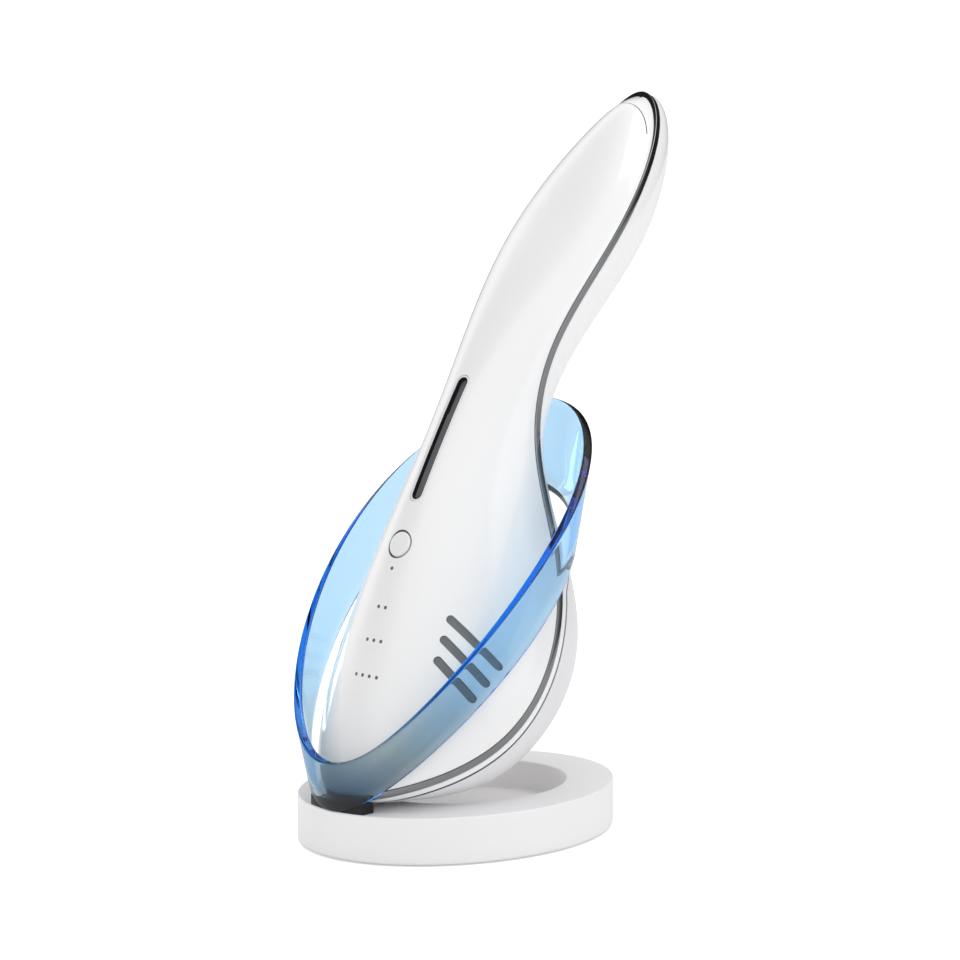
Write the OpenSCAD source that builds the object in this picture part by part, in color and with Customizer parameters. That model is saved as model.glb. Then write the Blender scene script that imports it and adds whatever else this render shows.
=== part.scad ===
// Facial toning device, resting in its stand.
// Origin: middle of the stand's underside. +Z is up and the handset leans back, towards +Y.

/* [Base] */
// Length of the oval base, front to back
base_len = 87; // [84:0.5:92]
// Width of the oval base
base_wid = 69; // [67:0.5:74]
// Height of the base, with its foot pad
base_h = 12; // [11.5:0.5:15]
// Width of the base's top in front of the recess and behind it, on average
rim_len_wid = 16; // [15:0.5:18.5]
// Width of the base's top beside the recess
rim_side_wid = 12; // [11.5:0.5:14.5]
// How far the recess lies behind the middle of the base
recess_back = 3.3; // [2.5:0.1:4]
// Wall of the moulded base
base_wall = 2.4; // [2:0.1:2.6]
// Radius of the base's upper edges
base_edge = 0.8; // [0.5:0.1:1.2]
// Thickness of the cover that closes the base
cover_t = 2.2; // [1.8:0.1:2.4]
// Thickness of the ballast ring
ballast_t = 5; // [3:0.1:5.5]
// How far the foot pad lies inside the base's front and back
pad_in_len = 10.5; // [9.5:0.5:16]
// How far the foot pad lies inside the base's sides
pad_in_wid = 9.5; // [8.5:0.5:14]
// Thickness of the foot pad
pad_t = 1; // [0.8:0.1:1.2]
// How far the pad stands out below the cover
pad_proud = 0.5; // [0.3:0.1:0.6]

/* [Cradle] */
// Thickness of the transparent ring
cradle_t = 2.2; // [1.8:0.1:2.4]
// Lean of the ring from the horizontal, in degrees
cradle_lean = 45.6; // [44:0.1:47]
// Half length of the ring's upper edge
rim_half_len = 56.5; // [55:0.5:60]
// How far the middle of the ring's upper edge lies inside the base's sides
rim_in = 0.7; // [-1.5:0.1:1]
// Half length of the ring's lower edge
hem_half_len = 50.3; // [50:0.1:52]
// How much narrower the ring's lower edge is, on each side
hem_less_wid = 2.6; // [1:0.1:2.8]
// How far the ring's sides arch up
rim_arch = 4.8; // [3:0.1:6]
// Width of the cradle's foot
foot_wid = 20; // [18:0.5:24]
// Length of the cradle's foot, front to back
foot_len = 7.5; // [7:0.1:7.6]
// Thickness of the cradle's foot
foot_t = 1.1; // [0.8:0.1:1.2]
// Diameter of the foot's two pegs
peg_d = 4.6; // [4:0.1:5]

/* [Handset] */
// Wall of the front and rear covers
wall = 2; // [1.6:0.1:2.2]
// Width of the bright strip between the covers
trim_wid = 1.8; // [1.4:0.1:2.2]
// How far the strip stands out of the covers
trim_proud = 0.15; // [0.1:0.05:0.3]
// How deep the strip reaches in
trim_deep = 2.6; // [2.4:0.1:3]
// How far the front cover steps back from the strip at the grip's end
tip_step = 1.4; // [0.8:0.1:1.8]
// Thickness of the frame plate between the covers
frame_t = 1.6; // [1.2:0.1:1.8]
// How far the treatment head's seam lies behind the split line
seam_back = 2.5; // [2.2:0.1:3]
// Gap at the treatment head's seam
seam_gap = 0.25; // [0.2:0.05:0.4]

/* [Controls] */
// Diameter of the power button
button_d = 6.6; // [6:0.1:7]
// Running clearance round the button
button_gap = 0.15; // [0.1:0.05:0.25]
// Width of the bright ring round the button
ring_wid = 0.6; // [0.4:0.1:0.8]
// Travel of the power button
button_travel = 0.6; // [0.4:0.1:0.6]
// Length of the indicator window
window_len = 33; // [28:0.5:34]
// Width of the indicator window
window_wid = 3; // [2.6:0.1:3.4]
// Width of the vent slots
vent_wid = 2; // [1.6:0.1:2.4]

/* [Treatment face] */
// Outer diameter of the contact ring
contact_d = 27; // [24:0.5:28]
// Width of the contact ring
contact_wid = 3; // [2:0.1:3.5]
// Number of treatment lights round the middle one
light_count = 6; // [4:1:8]

/* [Hidden] */
$fn = 48;

// Clearance between pieces that are fitted together
fit = 0.1;
// The base's recess and foot pad, from the widths left round them
recess_len = base_len - 2 * rim_len_wid;
recess_wid = base_wid - 2 * rim_side_wid;
pad_len = base_len - 2 * pad_in_len;
pad_wid = base_wid - 2 * pad_in_wid;
// The ring keeps to the base's sides
rim_half_wid = base_wid / 2 - rim_in;
hem_half_wid = rim_half_wid - hem_less_wid;
// The rows below and the ring are measured from a point this far behind the base's front edge
seat_back = 43.5;
seat_y = seat_back - base_len / 2;
// A little more than nothing, for cuts that run past a face
past = 1;

// ---------- Handset outline ----------
// Control rows from the chin to the tip, above the base's top: a point [y, z] for the split line,
// one for the front line, one for the rear line, and the half width.
body_rows = [
    [[-43, 2], [-43, 2], [-43, 2], 0],
    [[-33.25, 5.25], [-37, 8.5], [-29.5, 2], 16.5],
    [[-11, 13.5], [-32, 28.5], [-2, -0.5], 28],
    [[7, 32], [-25.5, 46], [27, 21.5], 28],
    [[16, 56.5], [-19, 64], [29, 45], 21.5],
    [[13, 83], [-5.5, 87.5], [15.5, 73], 12.5],
    [[18.5, 109.5], [12.5, 114.5], [28, 102.5], 13],
    [[40, 134.5], [35.5, 137.5], [60, 129], 18.5],
    [[64.25, 159], [55.5, 159.5], [73, 158.5], 11],
    [[70, 171], [70, 171], [70, 171], 0]
];
last = len(body_rows) - 1;
// Stations along each stretch between two rows, and steps round half a section
per_row = 4;
stations = last * per_row;
arc_steps = 16;
// Exponents of the front and the rear half sections: 2 is an ellipse, more is fuller
front_fullness = 2;
rear_fullness = 2.3;
trim_half = trim_wid / 2;

// ---------- Outline functions ----------
function mirrored(r) = [r[1] + r[2] - r[0], r[2], r[1], -r[3]];
function row_at(i) = i < 0 ? mirrored(body_rows[1]) : i > last ? mirrored(body_rows[last - 1]) : body_rows[i];

// The outline at u rows from the chin: [split point, front point, rear point, half width]
function outline(u) =
    let (i = min(floor(u), last - 1), f = u - i,
         a = (1 - f) ^ 3 / 6,
         b = (3 * f ^ 3 - 6 * f ^ 2 + 4) / 6,
         c = (-3 * f ^ 3 + 3 * f ^ 2 + 3 * f + 1) / 6,
         d = f ^ 3 / 6)
    [for (k = [0:3]) a * row_at(i - 1)[k] + b * row_at(i)[k] + c * row_at(i + 1)[k] + d * row_at(i + 2)[k]];

// Kept a little inside the ends, where the outline turns round
function inside(u) = max(0.05, min(last - 0.05, u));
// Direction of the split line (k = 0), front line (1) or rear line (2), towards the tip
function along(u, k) =
    let (v = inside(u), d = outline(v + 0.02)[k] - outline(v - 0.02)[k])
    d / norm(d);
// Square to that direction, towards the front
function forward(u, k) = let (t = along(u, k)) [-t[1], t[0]];

// How far the front cover steps in from the strip at station u
function step_in(u, side) = side > 0 ? tip_step * max(0, u - last + 1.6) ^ 1.5 / 2 : 0;
// A point of the split outline, in from its edge: [x, split point]
function edge_in(u, inset) =
    let (v = inside(u), dw = (outline(v + 0.02)[3] - outline(v - 0.02)[3]),
         ds = norm(outline(v + 0.02)[0] - outline(v - 0.02)[0]), l = norm([dw, ds]),
         w = outline(u)[3], x = w - inset * ds / l)
    u <= 0 ? [0, outline(0)[0] + along(0, 0) * inset] :
    u >= last ? [0, outline(last)[0] - along(last, 0) * inset] :
    [x, outline(u)[0] + along(u, 0) * inset * dw / l];

function signed_pow(a, n) = sign(a) * abs(a) ^ n;
function fullness(side) = side > 0 ? front_fullness : rear_fullness;
// A point of the skin at station u and angle a round the half section (0 is +X, 180 is -X)
function skin(u, a, side) =
    let (e = edge_in(u, step_in(u, side)), line = side > 0 ? 1 : 2,
         reach = outline(u)[line] - outline(u)[0],
         q = e[1] + side * (trim_half + fit / 2) * forward(u, 0) + reach * signed_pow(sin(a), 2 / fullness(side)))
    [e[0] * signed_pow(cos(a), 2 / fullness(side)), q[0], q[1]];
// Outward direction of the skin there
function skin_out(u, a, side) =
    let (v = max(0.1, min(last - 0.1, u)), b = max(3, min(177, a)),
         n = side * cross(skin(v + 0.04, b, side) - skin(v - 0.04, b, side),
                          skin(v, b + 2, side) - skin(v, b - 2, side)))
    n / norm(n);
// A point of the skin, deep below its face. At the very ends it moves along the split line
function below(u, a, side, deep) =
    deep == 0 ? skin(u, a, side) :
    u <= 0 ? skin(u, a, side) + deep * concat(0, along(0, 0)) :
    u >= last ? skin(u, a, side) - deep * concat(0, along(last, 0)) :
    skin(u, a, side) - deep * skin_out(u, a, side);
// The same at the rim, where it stays level with the strip's face
function rim(u, a, side, deep) =
    let (e = edge_in(u, step_in(u, side) + deep), q = e[1] + side * (trim_half + fit / 2) * forward(u, 0))
    [e[0] * sign(cos(a)), q[0], q[1]];

function station(j) = j / per_row;
function arc_angle(i) = i * 180 / arc_steps;
// One row of points round the half section at station j
function half_row(j, side, deep) =
    [for (i = [0:arc_steps])
        i == 0 || i == arc_steps ? rim(station(j), arc_angle(i), side, deep)
                                 : below(station(j), arc_angle(i), side, deep)];

// ---------- Faces ----------
// Triangles between two neighbouring rows of k points that start at a and b
function strip(a, b, k) =
    [for (i = [0:k - 2]) each [[a + i, a + i + 1, b + i], [a + i + 1, b + i + 1, b + i]]];
// One four-sided face as two triangles
function quad(a, b, c, d) = [[a, b, c], [a, c, d]];
// The same faces, seen from their other side
function turned(faces) = [for (f = faces) [f[0], f[2], f[1]]];
// Rows that end in a single point share its first vertex, and the triangles that vanish are left out
function pointed(i, k, ends) = let (r = floor(i / k)) len([for (e = ends) if (e == r) e]) > 0 ? r * k : i;
function welded(faces, k, ends) =
    [for (f = faces)
        let (a = pointed(f[0], k, ends), b = pointed(f[1], k, ends), c = pointed(f[2], k, ends))
        if (a != b && b != c && c != a) [a, b, c]];

// A cover: the whole half skin, hollow from station a to station b, and flat at the split
module half_shell(side, deep, a, b) {
    k = arc_steps + 1;
    h = (stations + 1 - a) * k;
    points = concat([for (j = [0:stations]) each half_row(j, side, 0)], [for (j = [a:b]) each half_row(j, side, deep)]);
    // Last point of the row that starts at n
    e = arc_steps;
    skin_faces = [for (j = [0:stations - 1]) each strip(j * k, (j + 1) * k, k)];
    inner_faces = turned([for (j = [a:b - 1]) each strip(h + j * k, h + (j + 1) * k, k)]);
    rim_faces = [for (j = [a:b - 1]) let (o = j * k, i = h + j * k) each
        concat(quad(o, o + k, i + k, i), quad(o + k + e, o + e, i + e, i + k + e))];
    chin_faces = [for (j = [0:1:a - 2]) each quad(j * k, j * k + k, j * k + k + e, j * k + e)];
    tip_faces = [for (j = [b + 1:1:stations - 1]) each quad(j * k, j * k + k, j * k + k + e, j * k + e)];
    p = (a - 1) * k;
    s = a * k;
    i = h + a * k;
    from_chin = [[p, s, i], [p, i, i + e], [p, i + e, p + e], [i + e, s + e, p + e]];
    n = (b + 1) * k;
    t = b * k;
    l = h + b * k;
    to_tip = [[t, n, l], [n, l + e, l], [n, n + e, l + e], [n + e, t + e, l + e]];
    walls = [for (c = [1:e - 1]) each [[i, i + c, i + c + 1], [l, l + c + 1, l + c]]];
    faces = welded(concat(skin_faces, inner_faces, rim_faces, chin_faces, tip_faces, from_chin, to_tip, walls),
                   k, [0, stations]);
    polyhedron(points, side > 0 ? faces : turned(faces));
}

// A part of the skin between two depths, from station a to station b
module skin_layer(side, top, deep, a, b) {
    k = arc_steps + 1;
    h = (b - a + 1) * k;
    e = arc_steps;
    points = concat([for (j = [a:b]) each half_row(j, side, top)], [for (j = [a:b]) each half_row(j, side, deep)]);
    skin_faces = [for (j = [0:b - a - 1]) each strip(j * k, (j + 1) * k, k)];
    inner_faces = turned([for (j = [0:b - a - 1]) each strip(h + j * k, h + (j + 1) * k, k)]);
    rim_faces = [for (j = [0:b - a - 1]) let (o = j * k, i = h + j * k) each
        concat(quad(o, o + k, i + k, i), quad(o + k + e, o + e, i + e, i + k + e))];
    n = (b - a) * k;
    ends = [for (c = [0:e - 1]) each concat(quad(c + 1, c, h + c, h + c + 1),
                                            quad(n + c, n + c + 1, h + n + c + 1, h + n + c))];
    chin = a == 0 ? [0, b - a + 1] : [];
    faces = welded(concat(skin_faces, inner_faces, rim_faces, ends), k, chin);
    polyhedron(points, side > 0 ? faces : turned(faces));
}

// A solid through loops of points: a bar with two ends, or a closed ring
module loft(loops, ring = false) {
    k = len(loops[0]);
    n = len(loops);
    sides = [for (r = [0:n - (ring ? 1 : 2)], i = [0:k - 1])
        let (a = r * k, b = (r + 1) % n * k, j = (i + 1) % k) each quad(a + i, a + j, b + j, b + i)];
    ends = ring ? [] : [[for (i = [k - 1:-1:0]) i], [for (i = [0:k - 1]) (n - 1) * k + i]];
    polyhedron([for (l = loops) each l], concat(sides, ends));
}

// The solid inside the half skin, deep below it, from station a to station b
module half_core(side, deep, a, b) {
    k = arc_steps + 1;
    e = arc_steps;
    n = (b - a) * k;
    skin_faces = [for (j = [0:b - a - 1]) each strip(j * k, (j + 1) * k, k)];
    flat_faces = [for (j = [0:b - a - 1]) each quad(j * k, j * k + k, j * k + k + e, j * k + e)];
    walls = [for (c = [1:e - 1]) each [[0, c + 1, c], [n, n + c, n + c + 1]]];
    faces = concat(skin_faces, flat_faces, walls);
    polyhedron([for (j = [a:b]) each half_row(j, side, deep)], side > 0 ? faces : turned(faces));
}

// ---------- Places on the handset ----------
// Everything of the handset stands on the base's top
module on_base() { translate([0, seat_y, base_h]) children(); }
// A frame at [y, z]: local Y runs along direction d in the YZ plane, local Z square to it, to the front
module at_point(q, d) { translate([0, q[0], q[1]]) rotate([atan2(d[1], d[0]), 0, 0]) children(); }
// On the split line at station u
module on_split(u) { at_point(outline(u)[0], along(u, 0)) children(); }
// On the middle of the front skin: Z points out of the cover
module on_front(u) {
    q = skin(u, 90, 1);
    at_point([q[1], q[2]], along(u, 1)) children();
}
// On the skin at station u and angle a: Z points out, Y runs round the section
module on_skin(u, a, side) {
    z = skin_out(u, a, side);
    d = skin(u, a + 2, side) - skin(u, a - 2, side);
    y = d / norm(d);
    x = cross(y, z);
    q = skin(u, a, side);
    multmatrix([[x[0], y[0], z[0], q[0]], [x[1], y[1], z[1], q[1]], [x[2], y[2], z[2], q[2]], [0, 0, 0, 1]])
        children();
}
// A bar with round ends along Y, from z to z + h
module stadium(len, wid, z, h) {
    for (s = [-1, 1]) translate([0, s * (len - wid) / 2, z]) cylinder(d = wid, h = h);
    translate([-wid / 2, -(len - wid) / 2, z]) cube([wid, len - wid, h]);
}
function ellipse(a, b, steps = 64) = [for (i = [0:steps - 1]) [b * cos(i * 360 / steps), a * sin(i * 360 / steps)]];
// A flat oval plate: half length a along Y, half width b along X
module oval(a, b, z, h) { translate([0, 0, z]) linear_extrude(h) polygon(ellipse(a, b)); }

// ---------- Screws ----------
screw_d = 2;
head_d = 3.8;
head_h = 1.1;
// A pan-head screw that points up, its head below z = 0
module screw(len) {
    cylinder(d = screw_d, h = len);
    translate([0, 0, -head_h]) cylinder(d = head_d, h = head_h);
}
module screw_hole(z, h) { translate([0, 0, z]) cylinder(d = screw_d + fit, h = h); }
module free_hole(z, h) { translate([0, 0, z]) cylinder(d = screw_d + 0.4, h = h); }

// ---------- Stand ----------
cover_top = pad_proud + cover_t;
// Floor of the recess, above the cover
recess_floor = cover_top + fit + 1.8;
boss_d = 5;
peg_boss_d = 7;
peg_x = foot_wid / 2 - 4.5;
peg_y = -base_len / 2 + foot_len - 2.6;
// The pegs reach this far down, and the boss below them is this much thicker
peg_end = base_h - base_wall - 2.6;
peg_seat = 1.5;

module at_pegs() { for (s = [-1, 1]) translate([s * peg_x, peg_y, 0]) children(); }
// The cover's screws lie midway between the foot pad's edge and the wall
module at_cover_screws() {
    a = (base_len / 2 - base_wall + pad_len / 2) / 2;
    b = (base_wid / 2 - base_wall + pad_wid / 2) / 2;
    for (t = [90, 235, 305]) translate([b * cos(t), a * sin(t), 0]) children();
}
// An oval loop at height z, with its middle at y
function oval_loop(len, wid, y, z) = [for (q = ellipse(len / 2, wid / 2)) [q[0], q[1] + y, z]];
// Round edge of the base: rounding steps from the wall (0) to the top (1)
function edge_out(t) = base_edge * (1 - cos(90 * t));
function edge_up(t) = base_edge * (sin(90 * t) - 1);
// From the recess's floor up and out, over both edges and down to the underside
base_loops = concat(
    [oval_loop(recess_len, recess_wid, recess_back, recess_floor)],
    [for (t = [0:0.5:1]) oval_loop(recess_len + 2 * edge_out(t), recess_wid + 2 * edge_out(t), recess_back,
                                   base_h + edge_up(t))],
    [for (t = [1:-0.5:0]) oval_loop(base_len - 2 * edge_out(t), base_wid - 2 * edge_out(t), 0, base_h + edge_up(t))],
    [oval_loop(base_len, base_wid, 0, pad_proud)]);

module recess_wall(extra, z, h) {
    translate([0, recess_back, 0]) oval(recess_len / 2 + extra, recess_wid / 2 + extra, z, h);
}

module stand_base() {
    color("white") difference() {
        union() {
            difference() {
                loft(base_loops);
                difference() {
                    oval(base_len / 2 - base_wall, base_wid / 2 - base_wall, -past, base_h - base_wall + past);
                    recess_wall(base_wall, cover_top + fit, base_h);
                }
            }
            intersection() {
                union() {
                    at_cover_screws() translate([0, 0, cover_top + fit])
                        cylinder(d = boss_d, h = base_h - base_wall / 2 - cover_top - fit);
                    at_pegs() translate([0, 0, peg_end - peg_seat])
                        cylinder(d = peg_boss_d, h = base_h - base_wall / 2 - peg_end + peg_seat);
                }
                oval(base_len / 2 - base_wall / 2, base_wid / 2 - base_wall / 2, 0, base_h);
            }
        }
        at_cover_screws() screw_hole(0, cover_top + fit + 5);
        at_pegs() translate([0, 0, peg_end - fit]) cylinder(d = peg_d + 2 * fit, h = base_h);
        at_pegs() free_hole(0, base_h);
        at_pegs() translate([0, 0, -past]) cylinder(d = head_d + 0.4, h = past + peg_end - peg_seat);
    }
}

module base_cover() {
    color("whitesmoke") difference() {
        oval(base_len / 2 - base_wall - fit, base_wid / 2 - base_wall - fit, pad_proud, cover_t);
        oval(pad_len / 2 + fit, pad_wid / 2 + fit, pad_proud - past, pad_t - pad_proud + past);
        at_cover_screws() free_hole(-past, base_h);
        at_cover_screws() translate([0, 0, pad_proud - past]) cylinder(d = head_d + 0.4, h = head_h + past);
    }
}

module cover_screws() {
    color("silver") at_cover_screws() translate([0, 0, pad_proud + head_h]) screw(cover_t - head_h + fit + 4.5);
}

module ballast_ring() {
    color("dimgray") difference() {
        oval(base_len / 2 - base_wall - 4 * fit, base_wid / 2 - base_wall - 4 * fit, cover_top + fit, ballast_t);
        recess_wall(base_wall + 4 * fit, 0, base_h);
        at_cover_screws() cylinder(d = boss_d + 6 * fit, h = base_h);
        at_pegs() cylinder(d = peg_boss_d + 6 * fit, h = base_h);
    }
}

module foot_pad() { color("dimgray") oval(pad_len / 2, pad_wid / 2, 0, pad_t); }

// Upper and lower edge of the transparent ring. Each is an egg in a leaning plane, and its sides arch up.
// Middle of each edge above the base's top: [y, z]. The lower edge stands on the base's front edge
hem_over = 0.2;
hem_sink = 0.14;
hem_middle = [hem_half_len * cos(cradle_lean) - seat_back - hem_over, hem_half_len * sin(cradle_lean) - hem_sink];
rim_rise = [3.1, 16.6];
rim_middle = hem_middle + rim_rise;
// How much wider the back of each edge is than its front, and how far the lower edge arches
rim_egg = 0.13;
hem_egg = 0.24;
hem_arch = 1.5;
ring_steps = 72;
function egg_point(mid, len, wid, egg, arch, a) =
    let (u = len * sin(a), v = arch * cos(a) ^ 2)
    [wid * cos(a) * (1 + egg * sin(a)),
     mid[0] + seat_y + u * cos(cradle_lean) - v * sin(cradle_lean),
     mid[1] + base_h + u * sin(cradle_lean) + v * cos(cradle_lean)];
function rim_point(a) = egg_point(rim_middle, rim_half_len, rim_half_wid, rim_egg, rim_arch, a);
function hem_point(a) = egg_point(hem_middle, hem_half_len, hem_half_wid, hem_egg, hem_arch, a);
function ring_point(a, h) = hem_point(a) * (1 - h) + rim_point(a) * h;
// Outward direction of the ring's wall
function ring_out(a, h) =
    let (n = cross(ring_point(a + 1, h) - ring_point(a - 1, h), rim_point(a) - hem_point(a)))
    n / norm(n);
function ring_loop(a) = concat([for (h = [0, 0.5, 1]) ring_point(a, h)],
                               [for (h = [1, 0.5, 0]) ring_point(a, h) - cradle_t * ring_out(a, h)]);

// A slice of the base's outline, in from its edge, over the foot's width
module foot_slice(inset, z, h) {
    intersection() {
        oval(base_len / 2 - inset, base_wid / 2 - inset, z, h);
        translate([-foot_wid / 2, -base_len / 2, z - past]) cube([foot_wid, foot_len, h + 2 * past]);
    }
}
riser_h = 3;
riser_t = 2;

module cradle() {
    color([0.4, 0.65, 0.95]) difference() {
        union() {
            difference() {
                loft([for (j = [0:ring_steps - 1]) ring_loop(j * 360 / ring_steps)], true);
                translate([-base_wid, -base_len, base_h - 10]) cube([2 * base_wid, base_len, 10]);
            }
            foot_slice(0.5, base_h, foot_t);
            difference() {
                foot_slice(0.5, base_h, riser_h);
                oval(base_len / 2 - 0.5 - riser_t, base_wid / 2 - 0.5 - riser_t, base_h - past, riser_h + 2 * past);
            }
            at_pegs() translate([0, 0, peg_end]) cylinder(d = peg_d, h = base_h - peg_end + foot_t / 2);
        }
        at_pegs() screw_hole(peg_end - past, past + base_h - peg_end);
    }
}

module cradle_screws() {
    color("silver") at_pegs() translate([0, 0, peg_end - peg_seat]) screw(peg_seat + base_h - peg_end - 0.5);
}

// ---------- Covers of the handset ----------
button_at = 3.88;
window_at = 4.97;
face_at = 2.6;
socket_at = 8.05;
// Control board: half width, and its ends below and above the button
board_half = 10;
board_low = -22;
board_high = 7;
board_t = 1.6;
board_deep = 9.5;
// Narrow board behind the window
strip_half_len = 22.5;
strip_screw = 20.5;
strip_deep = 6;
strip_t = 1;
// Posts that join the front cover to the frame: [x, station, how far the screw reaches in]
frame_posts = [[14, 2.2, 7], [-14, 2.2, 7], [0, 5.9, 7], [0, 7.75, 3.6]];
frame_post_d = 5.6;
// Vent slots: [station, angle round the section, length]
vents = [[2.94, 39.5, 17], [2.69, 41.5, 15.4], [2.44, 43, 13.4]];
vent_turn = -28;
bezel_wid = 0.6;

module at_button(z) { on_front(button_at) translate([0, 0, z]) children(); }
module at_window(z) { on_front(window_at) translate([0, 0, z]) children(); }
module at_board_screws() {
    for (x = [-1, 1], y = [board_low + 3, board_high - 3]) at_button(0) translate([x * (board_half - 2.5), y, 0])
        children();
}
module at_strip_screws() { for (y = [-1, 1]) at_window(0) translate([0, y * strip_screw, 0]) children(); }
module at_posts() { for (p = frame_posts) on_split(p[1]) translate([p[0], 0, 0]) let ($reach = p[2]) children(); }
module at_vents() {
    for (m = [0, 1], v = vents) mirror([m, 0, 0]) on_skin(v[0], v[1], 1) rotate(vent_turn)
        let ($vent_len = v[2]) children();
}
// On the middle of the rear skin: Z points out
module on_rear(u) {
    q = skin(u, 90, -1);
    at_point([q[1], q[2]], along(u, 2)) rotate([0, 180, 0]) children();
}

module front_shell() {
    on_base() color("white") difference() {
        union() {
            half_shell(1, wall, 2, 31);
            intersection() {
                union() {
                    at_posts() translate([0, 0, frame_t / 2 + fit]) cylinder(d = frame_post_d, h = 45);
                    at_board_screws() translate([0, 0, -board_deep]) cylinder(d = 4.4, h = board_deep);
                    at_strip_screws() translate([0, 0, -strip_deep]) cylinder(d = 4.4, h = strip_deep);
                }
                half_core(1, wall / 2, 2, 32);
            }
        }
        at_button(-board_deep + past) cylinder(d = button_d + 2 * button_gap, h = board_deep + past);
        at_button(-ring_deep) cylinder(d = button_d + 2 * (button_gap + ring_wid + fit), h = ring_deep + past);
        at_window(0) stadium(window_len + 2 * (bezel_wid + fit), window_wid + 2 * (bezel_wid + fit),
                             -wall - past, wall + 2 * past);
        at_vents() stadium($vent_len + 2 * fit, vent_wid + 2 * fit, -wall - past, wall + 2 * past);
        at_posts() screw_hole(0, frame_t / 2 + $reach + 0.3);
        at_board_screws() screw_hole(-board_deep - past, past + 4);
        at_strip_screws() screw_hole(-strip_deep - past, past + 3);
    }
}

// The space behind a line that runs off behind the split line, from the chin to the head's top
module behind_split(off, from, to, top) {
    curve = [for (i = [0:16]) let (u = from + (to - from) * i / 16) outline(u)[0] - off * forward(u, 0)];
    a = curve[0];
    b = curve[16];
    points = concat([[a[0] - 1, -60]], curve, [[b[0] + 3, b[1] + 4], [b[0] + 8, b[1] + 8]], top,
                    [[90, b[1] + 12], [90, -60]]);
    rotate([90, 0, 90]) translate([0, 0, -50]) linear_extrude(100) polygon(points);
}
// Where the treatment head's seam starts and ends, in rows
seam_from = 0.3;
seam_to = 3.72;
module seam_space(off) { behind_split(off, seam_from, seam_to, []); }

module rear_shell() {
    on_base() color("white") difference() {
        half_shell(-1, wall, 3, 33);
        seam_space(seam_back);
        on_rear(socket_at) rotate(90) stadium(socket_wid + 4 * fit, socket_high + 4 * fit, -6, 6 + past);
    }
}

// One loop of the strip's section, j stations round from the chin
function trim_loop(j) =
    let (near = j <= stations, u = station(near ? j : 2 * stations - j), s = near ? 1 : -1,
         n = trim_half * forward(u, 0), i = edge_in(u, trim_deep), o = edge_in(u, 0), p = edge_in(u, -trim_proud))
    [for (v = [[i, -1], [o, -1], [p, -0.6], [p, 0.6], [o, 1], [i, 1]])
        let (q = v[0][1] + v[1] * n) [s * v[0][0], q[0], q[1]]];
module side_trim() {
    on_base() color("silver") loft([for (j = [0:2 * stations - 1]) trim_loop(j)], true);
}

// ---------- Treatment head ----------
head_wall = 2.4;
// The lip inside the rear cover: its depth, its thickness and how far it lies behind the split line
lip_deep = wall + 0.2;
lip_t = 1.2;
lip_back = 1.3;
led_board_d = 27;
led_deep = 8;
led_board_t = 1.2;

module treatment_head() {
    on_base() color([0.88, 0.88, 0.9]) difference() {
        union() {
            intersection() {
                skin_layer(-1, 0, head_wall, 0, 20);
                seam_space(seam_back + seam_gap);
            }
            intersection() {
                skin_layer(-1, lip_deep, lip_deep + lip_t, 3, 20);
                seam_space(lip_back);
            }
        }
        on_rear(face_at) translate([0, 0, -led_deep]) cylinder(d = contact_d + 2 * fit, h = led_deep + past);
    }
}

module contact_ring() {
    on_base() color("silver") intersection() {
        skin_layer(-1, -0.4, head_wall, 7, 14);
        on_rear(face_at) translate([0, 0, -led_deep]) difference() {
            cylinder(d = contact_d, h = led_deep + 2 * past);
            translate([0, 0, -past]) cylinder(d = contact_d - 2 * contact_wid, h = led_deep + 4 * past);
        }
    }
}

module light_lens() {
    on_base() color([0.95, 0.85, 0.85]) intersection() {
        skin_layer(-1, 0, 1.6, 7, 14);
        on_rear(face_at) translate([0, 0, -led_deep])
            cylinder(d = contact_d - 2 * contact_wid - 2 * fit, h = led_deep + 2 * past);
    }
}

module at_led_screws() {
    for (s = [-1, 1]) on_rear(face_at) translate([s * (led_board_d / 2 - 2.4), 0, -led_deep]) children();
}
module led_board() {
    on_base() color("seagreen") difference() {
        on_rear(face_at) translate([0, 0, -led_deep - led_board_t]) cylinder(d = led_board_d, h = led_board_t);
        at_led_screws() free_hole(-led_board_t - past, led_board_t + 2 * past);
    }
}

module treatment_leds() {
    on_base() color("crimson") on_rear(face_at) translate([0, 0, -led_deep]) {
        light_led();
        for (i = [0:light_count - 1]) rotate(i * 360 / light_count) translate([6.2, 0, 0]) light_led();
    }
}
module light_led() { translate([-1.4, -1.4, 0]) cube([2.8, 2.8, 1]); }

// ---------- Inside ----------
frame_from = 1;
frame_to = 8.1;
frame_steps = 28;
function frame_loop(u) =
    let (e = edge_in(u, trim_deep + 2 * fit), n = frame_t / 2 * forward(u, 0), a = e[1] - n, b = e[1] + n)
    [[-e[0], a[0], a[1]], [e[0], a[0], a[1]], [e[0], b[0], b[1]], [-e[0], b[0], b[1]]];

module inner_frame() {
    on_base() color("gainsboro") difference() {
        union() {
            loft([for (i = [0:frame_steps]) frame_loop(frame_from + (frame_to - frame_from) * i / frame_steps)]);
            intersection() {
                at_led_screws() translate([0, 0, -led_board_t - 30]) cylinder(d = 4.4, h = 30);
                behind_split(0.2, 1, 4.2, []);
            }
        }
        at_posts() free_hole(-3 * past, 6 * past);
        at_led_screws() screw_hole(-led_board_t - 5, 5 + past);
    }
}

module frame_screws() {
    on_base() color("silver") at_posts() translate([0, 0, -frame_t / 2 - 2 * fit]) screw(frame_t / 2 + $reach);
}

module main_board() {
    on_base() color("seagreen") difference() {
        at_button(-board_deep - board_t) translate([-board_half, board_low, 0])
            cube([2 * board_half, board_high - board_low, board_t]);
        at_board_screws() free_hole(-board_deep - board_t - past, board_t + 2 * past);
    }
}

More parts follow.
